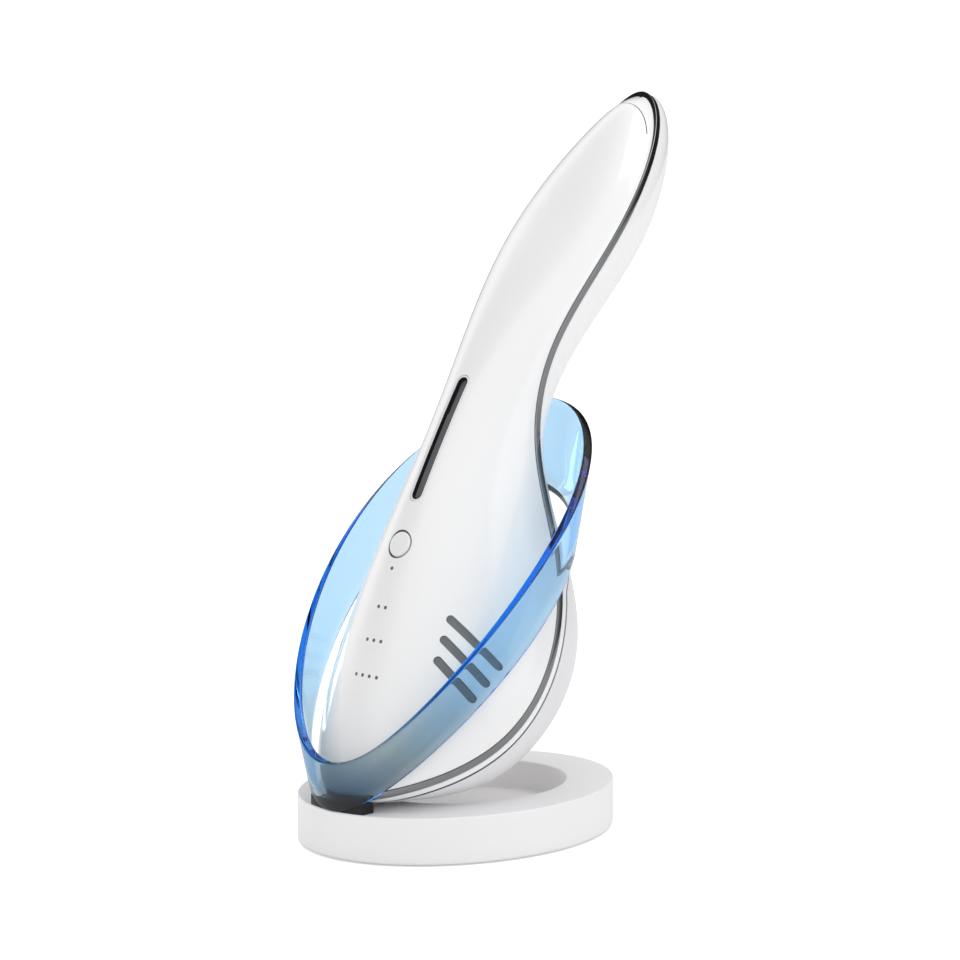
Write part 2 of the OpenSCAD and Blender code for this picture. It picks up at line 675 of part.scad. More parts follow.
module board_screws() {
    on_base() color("silver") {
        at_board_screws() translate([0, 0, -board_deep - board_t]) screw(board_t + 3.5);
        at_strip_screws() translate([0, 0, -strip_deep - strip_t]) screw(strip_t + 2.5);
        at_led_screws() mirror([0, 0, 1]) screw(led_board_t + 4.5);
    }
}

// Heights on the button's axis, below the skin
ring_deep = 1;
cap_rise = 0.3;
flange_top = -3;
flange_t = 0.8;
plunger_d = 3;
switch_top = -6;
plunger_top = -4.9;

module switch_body() {
    on_base() color("dimgray") at_button(-board_deep) difference() {
        translate([-3, -3, 0]) cube([6, 6, board_deep + switch_top]);
        translate([0, 0, 0.6]) cylinder(d = plunger_d + 2 * fit, h = board_deep);
    }
}

module switch_plunger() {
    on_base() color("black") at_button(-board_deep + 0.6 + button_travel + fit)
        cylinder(d = plunger_d, h = plunger_top + board_deep - 0.6 - button_travel - fit);
}

module power_button() {
    on_base() color("whitesmoke") at_button(0) {
        intersection() {
            translate([0, 0, flange_top - flange_t]) cylinder(d = button_d, h = 5);
            translate([0, 0, cap_rise - 15.5]) sphere(r = 15.5, $fn = 96);
        }
        translate([0, 0, flange_top - flange_t]) cylinder(d = button_d + 2, h = flange_t);
        translate([0, 0, plunger_top + fit / 2]) cylinder(d = plunger_d, h = flange_top - plunger_top - fit);
    }
}

module button_ring() {
    on_base() color("silver") intersection() {
        skin_layer(1, -trim_proud, wall, 14, 17);
        at_button(-ring_deep) difference() {
            cylinder(d = button_d + 2 * (button_gap + ring_wid), h = ring_deep + past);
            translate([0, 0, -past]) cylinder(d = button_d + 2 * button_gap, h = ring_deep + 3 * past);
        }
    }
}

module indicator_window() {
    on_base() color("black") intersection() {
        skin_layer(1, 0.15, 1.5, 17, 23);
        at_window(0) stadium(window_len, window_wid, -5, 5 + past);
    }
}

module window_bezel() {
    on_base() color("gray") intersection() {
        skin_layer(1, 0, 1.7, 17, 23);
        at_window(0) difference() {
            stadium(window_len + 2 * bezel_wid, window_wid + 2 * bezel_wid, -5, 5 + past);
            stadium(window_len + 2 * fit, window_wid + 2 * fit, -6, 8);
        }
    }
}

module light_guide() {
    on_base() color([0.9, 0.95, 1]) at_window(0) stadium(window_len - 1, window_wid - 0.6, -5.1, 3.05);
}

module indicator_board() {
    on_base() color("seagreen") difference() {
        at_window(-strip_deep - strip_t) translate([-3.5, -strip_half_len, 0])
            cube([7, 2 * strip_half_len, strip_t]);
        at_strip_screws() free_hole(-strip_deep - strip_t - past, strip_t + 2 * past);
    }
}

module indicator_leds() {
    on_base() color("gold") for (i = [-2:2]) at_window(-strip_deep) translate([-0.8, i * 6.5 - 1.6, 0])
        cube([1.6, 3.2, 0.8]);
}

module vent_inserts() {
    on_base() color("dimgray") intersection() {
        skin_layer(1, 0.5, wall, 7, 14);
        at_vents() stadium($vent_len, vent_wid, -5, 6);
    }
}

battery_at = 7.08;
cell_len = 33;
cell_wid = 17;
cell_t = 6;
// The tray lies below the frame, which bends a little over the tray's length
tray_top = -frame_t / 2 - 0.65;
tray_t = 1;
tray_rim = 1;

module battery() {
    on_base() color("steelblue") on_split(battery_at)
        translate([-cell_wid / 2, -cell_len / 2, tray_top - tray_t - fit - cell_t]) cube([cell_wid, cell_len, cell_t]);
}

module battery_tray() {
    w = cell_wid + 2 * (fit + tray_rim);
    l = cell_len + 2 * (fit + tray_rim);
    on_base() color("gainsboro") on_split(battery_at) difference() {
        translate([-w / 2, -l / 2, tray_top - tray_t - 3]) cube([w, l, tray_t + 3]);
        translate([-cell_wid / 2 - fit, -cell_len / 2 - fit, tray_top - tray_t - 3 - past])
            cube([cell_wid + 2 * fit, cell_len + 2 * fit, 3 + past]);
    }
}

motor_at = 2.9;
motor_d = 8;
motor_len = 16;
motor_up = 6.9;
shaft_d = 1;
mount_len = 10;

module on_motor() { on_base() on_split(motor_at) translate([0, 0, motor_up]) rotate([0, 90, 0]) children(); }

module motor_mount() {
    on_base() color("dimgray") on_split(motor_at) difference() {
        translate([-mount_len / 2, -6, frame_t / 2 + 0.45]) cube([mount_len, 12, motor_up + 4]);
        translate([-mount_len, 0, motor_up]) rotate([0, 90, 0]) cylinder(d = motor_d + 2 * fit, h = 2 * mount_len);
    }
}

module motor_case() {
    color("silver") on_motor() difference() {
        translate([0, 0, -motor_len / 2]) cylinder(d = motor_d, h = motor_len);
        translate([0, 0, motor_len / 2 - 6]) cylinder(d = shaft_d + fit, h = 6 + past);
    }
}

module motor_rotor() {
    color("goldenrod") on_motor() {
        translate([0, 0, motor_len / 2 - 5.5]) cylinder(d = shaft_d, h = 10.5);
        intersection() {
            translate([0, 0, motor_len / 2 + 0.6]) cylinder(d = 7, h = 4);
            translate([-0.4, -5, 0]) cube([5, 10, 20]);
        }
    }
}

socket_wid = 8.9;
socket_high = 3.2;
socket_deep = 7;
module charging_socket() {
    on_base() color("silver") on_rear(socket_at) rotate(90) {
        difference() {
            stadium(socket_wid, socket_high, -socket_deep - 0.3, socket_deep);
            stadium(socket_wid - 0.7, socket_high - 0.7, -socket_deep + 0.5, socket_deep + past);
        }
        translate([-0.35, -3, -socket_deep]) cube([0.7, 6, socket_deep - 1.2]);
    }
}

stand_base();
base_cover();
cover_screws();
ballast_ring();
foot_pad();
cradle();
cradle_screws();
front_shell();
rear_shell();
side_trim();
treatment_head();
contact_ring();
light_lens();
led_board();
treatment_leds();
inner_frame();
frame_screws();
main_board();
board_screws();
switch_body();
switch_plunger();
power_button();
button_ring();
indicator_window();
window_bezel();
light_guide();
indicator_board();
indicator_leds();
vent_inserts();
battery();
battery_tray();
motor_case();
motor_mount();
motor_rotor();
charging_socket();
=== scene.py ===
import math
import bmesh
import bpy
import numpy as np
from mathutils import Matrix, Vector
from mathutils.bvhtree import BVHTree


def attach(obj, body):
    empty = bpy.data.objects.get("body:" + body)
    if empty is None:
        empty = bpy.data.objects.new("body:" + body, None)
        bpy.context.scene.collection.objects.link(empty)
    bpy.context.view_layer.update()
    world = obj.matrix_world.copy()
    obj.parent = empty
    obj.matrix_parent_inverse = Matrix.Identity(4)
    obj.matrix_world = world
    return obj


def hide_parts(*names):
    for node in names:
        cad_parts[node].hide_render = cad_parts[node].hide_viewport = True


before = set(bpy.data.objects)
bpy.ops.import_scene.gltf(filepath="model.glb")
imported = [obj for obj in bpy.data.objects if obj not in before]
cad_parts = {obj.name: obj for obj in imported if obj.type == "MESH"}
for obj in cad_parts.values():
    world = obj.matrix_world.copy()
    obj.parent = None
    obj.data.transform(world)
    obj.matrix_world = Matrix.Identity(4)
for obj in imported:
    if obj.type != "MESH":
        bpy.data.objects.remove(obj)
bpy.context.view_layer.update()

# ---------- Studio ----------
# The device stands on a plain white table in a white room, seen from its front right and a little from above.
# Five soft lamps stand round it. Two darker sides of the room give its polished parts something to mirror.
def join(tree, *pairs):
    for a, b in pairs:
        tree.links.new(a, b)


def calc(tree, how, *values):
    """One step of arithmetic on sockets and numbers"""
    step = tree.nodes.new("ShaderNodeMath")
    step.operation = how
    for i, value in enumerate(values):
        if isinstance(value, (int, float)):
            step.inputs[i].default_value = value
        else:
            tree.links.new(value, step.inputs[i])
    return step.outputs[0]


turn, height = math.radians(44), math.radians(9.16)
right = Vector((math.cos(turn), math.sin(turn), 0))
away = Vector((math.sin(turn) * math.cos(height), -math.cos(turn) * math.cos(height), math.sin(height)))
upward = away.cross(right)
eye = bpy.data.objects.new("camera", bpy.data.cameras.new("camera"))
bpy.context.scene.collection.objects.link(eye)
eye.matrix_world = Matrix((right, upward, away)).transposed().to_4x4()
eye.location = right * 0.00584 + upward * 0.0869 + away * 1.2416
eye.data.lens = 187.5
eye.data.sensor_width = 36
eye.data.clip_start = 0.01
bpy.context.scene.camera = eye
bpy.context.scene.view_settings.view_transform = "Standard"

room = bpy.data.worlds.new("white_room")
bpy.context.scene.world = room
room.use_nodes = True
wires = room.node_tree
wires.nodes.clear()
ray = wires.nodes.new("ShaderNodeLightPath")
plain_sight = calc(wires, "ADD", ray.outputs["Is Camera Ray"], ray.outputs["Is Glossy Ray"])
level = wires.nodes.new("ShaderNodeMapRange")
level.inputs["To Min"].default_value = 0.81
level.inputs["To Max"].default_value = 1.0
facing = wires.nodes.new("ShaderNodeTexCoord")
dim_sides = []
for side, begins, full in (((-0.2, 0.98, 0), 0.3, 0.85), ((-0.66, -0.46, 0.59), 0.76, 0.98)):
    towards = wires.nodes.new("ShaderNodeVectorMath")
    towards.operation = "DOT_PRODUCT"
    towards.inputs[1].default_value = side
    dim = wires.nodes.new("ShaderNodeMapRange")
    dim.interpolation_type = "SMOOTHSTEP"
    dim.inputs["From Min"].default_value = begins
    dim.inputs["From Max"].default_value = full
    dim.inputs["To Min"].default_value = 1.0
    dim.inputs["To Max"].default_value = 0.05
    join(wires, (facing.outputs["Generated"], towards.inputs[0]),
         (towards.outputs["Value"], dim.inputs["Value"]))
    dim_sides.append(dim.outputs["Result"])
mirror_only = wires.nodes.new("ShaderNodeMix")
mirror_only.inputs["A"].default_value = 1.0
glow = wires.nodes.new("ShaderNodeBackground")
glow.inputs["Color"].default_value = (1, 1, 1, 1)
out = wires.nodes.new("ShaderNodeOutputWorld")
strength = calc(wires, "MULTIPLY", level.outputs["Result"], mirror_only.outputs["Result"])
join(wires, (calc(wires, "ADD", plain_sight, ray.outputs["Is Transmission Ray"]), level.inputs["Value"]),
     (ray.outputs["Is Glossy Ray"], mirror_only.inputs["Factor"]),
     (calc(wires, "MINIMUM", *dim_sides), mirror_only.inputs["B"]),
     (strength, glow.inputs["Strength"]), (glow.outputs[0], out.inputs["Surface"]))


def lamp(name, place, aim, size, power, mirrored_too=True):
    """A soft lamp in watts, which the polished parts may mirror or not"""
    light = bpy.data.lights.new(name, "AREA")
    light.shape = "RECTANGLE"
    light.size, light.size_y = size
    light.energy = power
    holder = bpy.data.objects.new(name, light)
    bpy.context.scene.collection.objects.link(holder)
    holder.location = place
    holder.visible_glossy = mirrored_too
    holder.rotation_euler = (Vector(aim) - Vector(place)).to_track_quat("-Z", "Y").to_euler()


lamp("softbox_left", (-0.55, -0.75, 0.55), (0, 0, 0.08), (0.7, 0.9), 0.25, False)
lamp("softbox_top", (0.28, 0.2, 1.0), (0, 0.02, 0.08), (0.4, 1.0), 2.2)
lamp("softbox_low", (0.85, -1.2, 0.16), (0, 0, 0.06), (0.9, 0.35), 1.3)
lamp("softbox_right", (0.85, 0.35, 0.2), (0, 0.02, 0.08), (0.5, 0.7), 0.6)
lamp("edge_strip", (-0.9, 0.1, 0.25), (0, 0, 0.1), (0.16, 0.9), 2.0, False)

table_mesh = bpy.data.meshes.new("table")
table_mesh.from_pydata([(-3, -3, 0), (3, -3, 0), (3, 3, 0), (-3, 3, 0)], [], [(0, 1, 2, 3)])
table = bpy.data.objects.new("table", table_mesh)
bpy.context.scene.collection.objects.link(table)
white_top = bpy.data.materials.new("table_white")
white_top.use_nodes = True
wires = white_top.node_tree
wires.nodes.clear()
ray = wires.nodes.new("ShaderNodeLightPath")
lift = calc(wires, "MULTIPLY", ray.outputs["Is Camera Ray"], 0.4)
lift = calc(wires, "MULTIPLY_ADD", ray.outputs["Is Transmission Ray"], 0.14, lift)
matt = wires.nodes.new("ShaderNodeBsdfDiffuse")
matt.inputs["Color"].default_value = (0.9, 0.9, 0.9, 1)
shine = wires.nodes.new("ShaderNodeEmission")
both = wires.nodes.new("ShaderNodeAddShader")
out = wires.nodes.new("ShaderNodeOutputMaterial")
join(wires, (lift, shine.inputs["Strength"]), (matt.outputs[0], both.inputs[0]),
     (shine.outputs[0], both.inputs[1]), (both.outputs[0], out.inputs["Surface"]))
table_mesh.materials.append(white_top)


# ---------- Base moulding ----------
# White oval moulding of satin plastic, with a round-edged recess in its top.
# One injection moulding, hollow below, whose rim stands half a millimetre above the table.
def moulded(name, colour, rough, grain=900, relief=0.02, spread=0.03, metal=0.0, coat=0.0, extra=()):
    """A finish whose colour, gloss and surface vary a little, with extra values for its shader"""
    stuff = bpy.data.materials.new(name)
    stuff.use_nodes = True
    tree = stuff.node_tree
    shader = tree.nodes["Principled BSDF"]
    shader.inputs["Metallic"].default_value = metal
    shader.inputs["Coat Weight"].default_value = coat
    shader.inputs["Coat Roughness"].default_value = 0.04
    for label, value in extra:
        shader.inputs[label].default_value = value
    where = tree.nodes.new("ShaderNodeTexCoord")
    noise = tree.nodes.new("ShaderNodeTexNoise")
    noise.inputs["Scale"].default_value = grain
    noise.inputs["Detail"].default_value = 3
    soft = tree.nodes.new("ShaderNodeTexNoise")
    soft.inputs["Scale"].default_value = 38
    soft.inputs["Detail"].default_value = 2
    tint = tree.nodes.new("ShaderNodeValToRGB")
    dark, light = tint.color_ramp.elements
    dark.position = 0.3
    light.position = 0.7
    dark.color = (*[c * (1 - spread) for c in colour], 1)
    light.color = (*[min(1, c * (1 + spread * 0.4)) for c in colour], 1)
    gloss = tree.nodes.new("ShaderNodeMapRange")
    gloss.inputs["To Min"].default_value = rough * 0.85
    gloss.inputs["To Max"].default_value = min(1, rough * 1.15)
    bump = tree.nodes.new("ShaderNodeBump")
    bump.inputs["Strength"].default_value = relief
    bump.inputs["Distance"].default_value = 0.0002
    join(tree,
         (where.outputs["Object"], noise.inputs["Vector"]), (where.outputs["Object"], soft.inputs["Vector"]),
         (soft.outputs["Fac"], tint.inputs["Fac"]), (tint.outputs["Color"], shader.inputs["Base Color"]),
         (noise.outputs["Fac"], gloss.inputs["Value"]), (gloss.outputs["Result"], shader.inputs["Roughness"]),
         (noise.outputs["Fac"], bump.inputs["Height"]), (bump.outputs["Normal"], shader.inputs["Normal"]))
    return stuff


def solid(name, points, faces, finish=None, crease=35):
    """A closed object from points in millimetres, its doubles merged and its faces turned outwards"""
    mesh = bpy.data.meshes.new(name)
    mesh.from_pydata((np.asarray(points, float) * 0.001).tolist(), [], faces)
    shape = bmesh.new()
    shape.from_mesh(mesh)
    bmesh.ops.remove_doubles(shape, verts=shape.verts, dist=2e-6)
    bmesh.ops.dissolve_degenerate(shape, edges=shape.edges, dist=1e-7)
    bmesh.ops.recalc_face_normals(shape, faces=shape.faces)
    shape.to_mesh(mesh)
    shape.free()
    item = bpy.data.objects.new(name, mesh)
    bpy.context.scene.collection.objects.link(item)
    if finish:
        mesh.materials.append(finish)
    smooth(item, crease)
    return item


def smooth(item, crease):
    """Soft shading, but for edges sharper than the crease's degrees"""
    item.data.polygons.foreach_set("use_smooth", [True] * len(item.data.polygons))
    item.data.set_sharp_from_angle(angle=math.radians(crease))


def skin_over(loops, ring=False):
    """Points and four-sided faces over loops of equal count"""
    count = len(loops[0])
    rows = len(loops)
    faces = []
    for r in range(rows if ring else rows - 1):
        a, b = r * count, (r + 1) % rows * count
        for i in range(count):
            j = (i + 1) % count
            faces.append((a + i, a + j, b + j, b + i))
    return np.concatenate(loops), faces


base_len, base_wid, base_h = 87, 69, 12
recess_len, recess_wid, recess_back, recess_floor = 55, 45, 3.3, 4.6
base_wall, base_round, floor_round, floor_t, rim_gap = 2.4, 0.45, 0.5, 1.8, 0.5
spin = np.linspace(0, 2 * math.pi, 192, endpoint=False)


def oval_loop(length, width, back, z):
    return np.stack([width / 2 * np.cos(spin), length / 2 * np.sin(spin) + back, np.full(spin.size, z)], 1)


def recess_loop(more, z):
    """The recess's outline, out from its wall"""
    return oval_loop(recess_len + 2 * more, recess_wid + 2 * more, recess_back, z)


def outer_loop(less, z):
    """The base's outline, in from its wall"""
    return oval_loop(base_len - 2 * less, base_wid - 2 * less, 0, z)


quarter = np.radians(np.linspace(0, 90, 7))
loops = [oval_loop(recess_len * f, recess_wid * f, recess_back, recess_floor) for f in (0, 0.3, 0.6, 0.85)]
for q in quarter:
    loops.append(recess_loop(floor_round * (math.sin(q) - 1), recess_floor + floor_round * (1 - math.cos(q))))
loops.append(recess_loop(0, base_h - base_round - 2))
for q in quarter:
    loops.append(recess_loop(base_round * (1 - math.cos(q)), base_h - base_round * (1 - math.sin(q))))
inner_lip, outer_lip = recess_loop(base_round + 0.4, base_h), outer_loop(base_round + 0.4, base_h)
loops += [inner_lip * (1 - f) + outer_lip * f for f in (0, 0.33, 0.67, 1)]
for q in quarter:
    loops.append(outer_loop(base_round * (1 - math.sin(q)), base_h - base_round * (1 - math.cos(q))))
loops += [outer_loop(0, z) for z in (10.6, 7, 3, 1.1)]
loops += [outer_loop(0.1, rim_gap + 0.2), outer_loop(0.3, rim_gap), outer_loop(base_wall, rim_gap)]
loops += [outer_loop(base_wall, base_h - base_wall), recess_loop(base_wall, base_h - base_wall)]
loops.append(recess_loop(base_wall, recess_floor - floor_t))
loops.append(oval_loop(0, 0, recess_back, recess_floor - floor_t))
satin_white = moulded("base_satin_white", (0.885, 0.885, 0.89), 0.5, grain=1400, relief=0.05, spread=0.012,
                      extra=[("Specular IOR Level", 0.3)])
base = solid("oval_base", *skin_over(loops), satin_white)
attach(base, "stand")
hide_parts("stand_base")


# ---------- Underside: cover, pad and ballast ----------
# A flat plastic cover closes the base, with a soft rubber pad let into it, so that the stand doesn't slip.
# The ballast above the cover is a cast iron ring. Their CAD shapes are right and get their own finishes.
def dress(node, finish):
    """A carried piece of the frame takes a finish"""
    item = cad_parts[node]
    if not item.material_slots:
        item.data.materials.append(finish)
    for place in item.material_slots:
        place.material = finish
    return item


dress("base_cover", moulded("cover_satin", (0.78, 0.78, 0.79), 0.45, grain=1800, relief=0.12))
dress("foot_pad", moulded("pad_rubber", (0.06, 0.06, 0.063), 0.75, grain=2600, relief=0.35, spread=0.15))
iron = moulded("ballast_iron", (0.2, 0.2, 0.21), 0.6, grain=1200, relief=0.5, spread=0.2, metal=0.8)
dress("ballast_ring", iron)


# ---------- Cover screws ----------
# Three small pan-head screws with a cross recess hold the cover to the base's bosses.
# Zinc-plated steel, driven in from below and sunk in counterbores.
def tree_of(name, inputs):
    """An empty geometry tree with named inputs: [name, socket type, value]"""
    tree = bpy.data.node_groups.new(name, "GeometryNodeTree")
    tree.interface.new_socket(name="Geometry", in_out="INPUT", socket_type="NodeSocketGeometry")
    for label, kind, value in inputs:
        socket = tree.interface.new_socket(name=label, in_out="INPUT", socket_type=kind)
        if value is not None:
            socket.default_value = value
    tree.interface.new_socket(name="Geometry", in_out="OUTPUT", socket_type="NodeSocketGeometry")
    return tree, tree.nodes.new("NodeGroupInput"), tree.nodes.new("NodeGroupOutput")


def copied(tree, given, shape):
    """The node that sets a copy of the shape on every start point"""
    places = tree.nodes.new("GeometryNodeMeshToPoints")
    copies = tree.nodes.new("GeometryNodeInstanceOnPoints")
    join(tree, (given.outputs["Geometry"], places.inputs["Mesh"]),
         (places.outputs[0], copies.inputs["Points"]), (shape, copies.inputs["Instance"]))
    return copies


def finished(tree, given, result, shape):
    """The tree ends with the shape made real, in its material"""
    real = tree.nodes.new("GeometryNodeRealizeInstances")
    coat = tree.nodes.new("GeometryNodeSetMaterial")
    join(tree, (shape, real.inputs[0]), (real.outputs[0], coat.inputs["Geometry"]),
         (given.outputs["Material"], coat.inputs["Material"]), (coat.outputs[0], result.inputs[0]))


def plain(item):
    """The object's modifiers are worked into its mesh"""
    graph = bpy.context.evaluated_depsgraph_get()
    shown = item.evaluated_get(graph)
    item.data = bpy.data.meshes.new_from_object(shown, preserve_all_data_layers=True, depsgraph=graph)
    item.modifiers.clear()
    return item


def grown(name, tree, sizes, start=(), facing=()):
    """An object whose mesh the tree makes from start points in metres, and the way that each faces"""
    mesh = bpy.data.meshes.new(name)
    mesh.from_pydata([tuple(p) for p in start], [], [])
    if facing:
        ways = mesh.attributes.new("facing", "FLOAT_VECTOR", "POINT")
        ways.data.foreach_set("vector", [c for way in facing for c in way])
    item = bpy.data.objects.new(name, mesh)
    bpy.context.scene.collection.objects.link(item)
    grow = item.modifiers.new("tree", "NODES")
    grow.node_group = tree
    for socket in tree.interface.items_tree:
        if socket.name in sizes:
            grow[socket.identifier] = sizes[socket.name]
    return plain(item)


tree, given, result = tree_of("screw_set", [
    ("Head diameter", "NodeSocketFloat", 0.0038), ("Head height", "NodeSocketFloat", 0.0011),
    ("Shank diameter", "NodeSocketFloat", 0.002), ("Length", "NodeSocketFloat", 0.0057),
    ("Cross width", "NodeSocketFloat", 0.0005), ("Cross depth", "NodeSocketFloat", 0.0006),
    ("Material", "NodeSocketMaterial", None)])
head = tree.nodes.new("GeometryNodeMeshCylinder")
head.inputs["Vertices"].default_value = 40
shank = tree.nodes.new("GeometryNodeMeshCylinder")
shank.inputs["Vertices"].default_value = 24
low_head = tree.nodes.new("GeometryNodeTransform")
high_shank = tree.nodes.new("GeometryNodeTransform")
down = tree.nodes.new("ShaderNodeCombineXYZ")
rise = tree.nodes.new("ShaderNodeCombineXYZ")
sunk = tree.nodes.new("ShaderNodeCombineXYZ")
cut = tree.nodes.new("GeometryNodeMeshBoolean")
cut.operation = "DIFFERENCE"
whole = tree.nodes.new("GeometryNodeJoinGeometry")
join(tree,
     (calc(tree, "MULTIPLY", given.outputs["Head diameter"], 0.5), head.inputs["Radius"]),
     (given.outputs["Head height"], head.inputs["Depth"]),
     (calc(tree, "MULTIPLY", given.outputs["Shank diameter"], 0.5), shank.inputs["Radius"]),
     (given.outputs["Length"], shank.inputs["Depth"]),
     (calc(tree, "MULTIPLY", given.outputs["Head height"], -0.5), down.inputs["Z"]),
     (calc(tree, "MULTIPLY", given.outputs["Length"], 0.5), rise.inputs["Z"]),
     (calc(tree, "MULTIPLY", given.outputs["Head height"], -1), sunk.inputs["Z"]),
     (head.outputs["Mesh"], low_head.inputs["Geometry"]), (down.outputs[0], low_head.inputs["Translation"]),
     (shank.outputs["Mesh"], high_shank.inputs["Geometry"]),
     (rise.outputs[0], high_shank.inputs["Translation"]), (low_head.outputs[0], cut.inputs["Mesh 1"]))
arm = calc(tree, "MULTIPLY", given.outputs["Head diameter"], 0.62)
double_depth = calc(tree, "MULTIPLY", given.outputs["Cross depth"], 2)
for lengthways, across in ("XY", "YX"):
    bar = tree.nodes.new("GeometryNodeMeshCube")
    size = tree.nodes.new("ShaderNodeCombineXYZ")
    low_bar = tree.nodes.new("GeometryNodeTransform")
    join(tree, (arm, size.inputs[lengthways]), (given.outputs["Cross width"], size.inputs[across]),
         (double_depth, size.inputs["Z"]), (size.outputs[0], bar.inputs["Size"]),
         (bar.outputs["Mesh"], low_bar.inputs["Geometry"]), (sunk.outputs[0], low_bar.inputs["Translation"]),
         (low_bar.outputs[0], cut.inputs["Mesh 2"]))
join(tree, (cut.outputs["Mesh"], whole.inputs[0]), (high_shank.outputs[0], whole.inputs[0]))
finished(tree, given, result, copied(tree, given, whole.outputs[0]).outputs[0])
zinc = moulded("zinc_steel", (0.62, 0.62, 0.63), 0.3, grain=2200, relief=0.08, spread=0.08, metal=1.0)
pad_len, pad_wid, head_up = 66, 50, 1.6
between_x = (base_wid / 2 - base_wall + pad_wid / 2) / 2
between_y = (base_len / 2 - base_wall + pad_len / 2) / 2
places = []
for t in np.radians((90, 235, 305)):
    places.append((between_x * math.cos(t) / 1000, between_y * math.sin(t) / 1000, head_up / 1000))
screws = grown("cover_screw_set", tree, {"Material": zinc}, places)
smooth(screws, 35)
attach(screws, "stand")
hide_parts("cover_screws")
dress("cradle_screws", zinc)


# ---------- Cradle ring ----------
# Clear blue ring that leans back and holds the handset round its head, with a foot on the base's edge whose
# near-black colour is painted shade.
# Clear tinted plastic that turns deep blue along the wall. Two pegs under the foot are screwed to the base.
tree, given, result = tree_of("leaning_ring", [
    ("Rim half length", "NodeSocketFloat", 0.0565), ("Rim half width", "NodeSocketFloat", 0.0338),
    ("Rim egg", "NodeSocketFloat", 0.13), ("Rim arch", "NodeSocketFloat", 0.0048),
    ("Rim back", "NodeSocketFloat", -0.0054), ("Rim height", "NodeSocketFloat", 0.0644),
    ("Hem half length", "NodeSocketFloat", 0.0503), ("Hem half width", "NodeSocketFloat", 0.0312),
    ("Hem egg", "NodeSocketFloat", 0.24), ("Hem arch", "NodeSocketFloat", 0.0015),
    ("Hem back", "NodeSocketFloat", -0.0085), ("Hem height", "NodeSocketFloat", 0.0478),
    ("Lean", "NodeSocketFloat", math.radians(45.6)), ("Steps round", "NodeSocketInt", 193),
    ("Steps up", "NodeSocketInt", 13), ("Material", "NodeSocketMaterial", None)])
sheet = tree.nodes.new("GeometryNodeMeshGrid")
spot = tree.nodes.new("GeometryNodeInputPosition")
split = tree.nodes.new("ShaderNodeSeparateXYZ")
bend = tree.nodes.new("GeometryNodeSetPosition")
weld = tree.nodes.new("GeometryNodeMergeByDistance")
weld.inputs["Distance"].default_value = 1e-6
join(tree, (given.outputs["Steps round"], sheet.inputs["Vertices X"]), (spot.outputs[0], split.inputs[0]),
     (given.outputs["Steps up"], sheet.inputs["Vertices Y"]))
angle = calc(tree, "MULTIPLY", calc(tree, "ADD", split.outputs["X"], 0.5), 2 * math.pi)
share = calc(tree, "ADD", split.outputs["Y"], 0.5)
sine, cosine = calc(tree, "SINE", angle), calc(tree, "COSINE", angle)
lean_sin = calc(tree, "SINE", given.outputs["Lean"])
lean_cos = calc(tree, "COSINE", given.outputs["Lean"])
edges = []
for edge in ("Rim", "Hem"):
    along_edge = calc(tree, "MULTIPLY", given.outputs[edge + " half length"], sine)
    arch = calc(tree, "MULTIPLY", given.outputs[edge + " arch"], calc(tree, "MULTIPLY", cosine, cosine))
    wider = calc(tree, "MULTIPLY_ADD", given.outputs[edge + " egg"], sine, 1.0)
    x = calc(tree, "MULTIPLY", calc(tree, "MULTIPLY", given.outputs[edge + " half width"], cosine), wider)
    y = calc(tree, "MULTIPLY_ADD", along_edge, lean_cos, given.outputs[edge + " back"])
    y = calc(tree, "SUBTRACT", y, calc(tree, "MULTIPLY", arch, lean_sin))
    z = calc(tree, "MULTIPLY_ADD", along_edge, lean_sin, given.outputs[edge + " height"])
    z = calc(tree, "ADD", z, calc(tree, "MULTIPLY", arch, lean_cos))
    edges.append((x, y, z))
rising = tree.nodes.new("GeometryNodeStoreNamedAttribute")
rising.inputs["Name"].default_value = "rise"
spot_now = tree.nodes.new("ShaderNodeCombineXYZ")
for i, axis in enumerate("XYZ"):
    step = calc(tree, "SUBTRACT", edges[0][i], edges[1][i])
    join(tree, (calc(tree, "MULTIPLY_ADD", step, share, edges[1][i]), spot_now.inputs[axis]))
join(tree, (sheet.outputs["Mesh"], rising.inputs["Geometry"]), (share, rising.inputs["Value"]),
     (rising.outputs[0], bend.inputs["Geometry"]), (spot_now.outputs[0], bend.inputs["Position"]),
     (bend.outputs[0], weld.inputs["Geometry"]))
finished(tree, given, result, weld.outputs[0])

clear_blue = bpy.data.materials.new("clear_blue")
clear_blue.use_nodes = True
wires = clear_blue.node_tree
shader = wires.nodes["Principled BSDF"]
shader.inputs["Transmission Weight"].default_value = 1.0
shader.inputs["IOR"].default_value = 1.46
where = wires.nodes.new("ShaderNodeTexCoord")
ripple = wires.nodes.new("ShaderNodeTexNoise")
ripple.inputs["Scale"].default_value = 90
bump = wires.nodes.new("ShaderNodeBump")
bump.inputs["Strength"].default_value = 0.03
bump.inputs["Distance"].default_value = 0.0003
haze = wires.nodes.new("ShaderNodeMapRange")
haze.inputs["To Min"].default_value = 0.01
haze.inputs["To Max"].default_value = 0.03
tint = wires.nodes.new("ShaderNodeVolumeAbsorption")
tint.inputs["Color"].default_value = (0.0, 0.6, 0.955, 1)
tint.inputs["Density"].default_value = 285
# Near the foot the ring's base colour turns darker, greyer and warmer. This is painted shade, for the shaded
# handset seen through the ring there.
from_foot = wires.nodes.new("ShaderNodeVectorMath")
from_foot.operation = "DISTANCE"
from_foot.inputs[1].default_value = (0.004, -0.041, 0.014)
foot_shade_fade = wires.nodes.new("ShaderNodeMapRange")
foot_shade_fade.inputs["From Max"].default_value = 0.046
painted_shade_tint = wires.nodes.new("ShaderNodeValToRGB")
stops = painted_shade_tint.color_ramp.elements
stops[0].color = (0.34, 0.37, 0.42, 1)
stops[1].color = (1, 1, 1, 1)
stops.new(0.4).color = (0.86, 0.71, 0.6, 1)
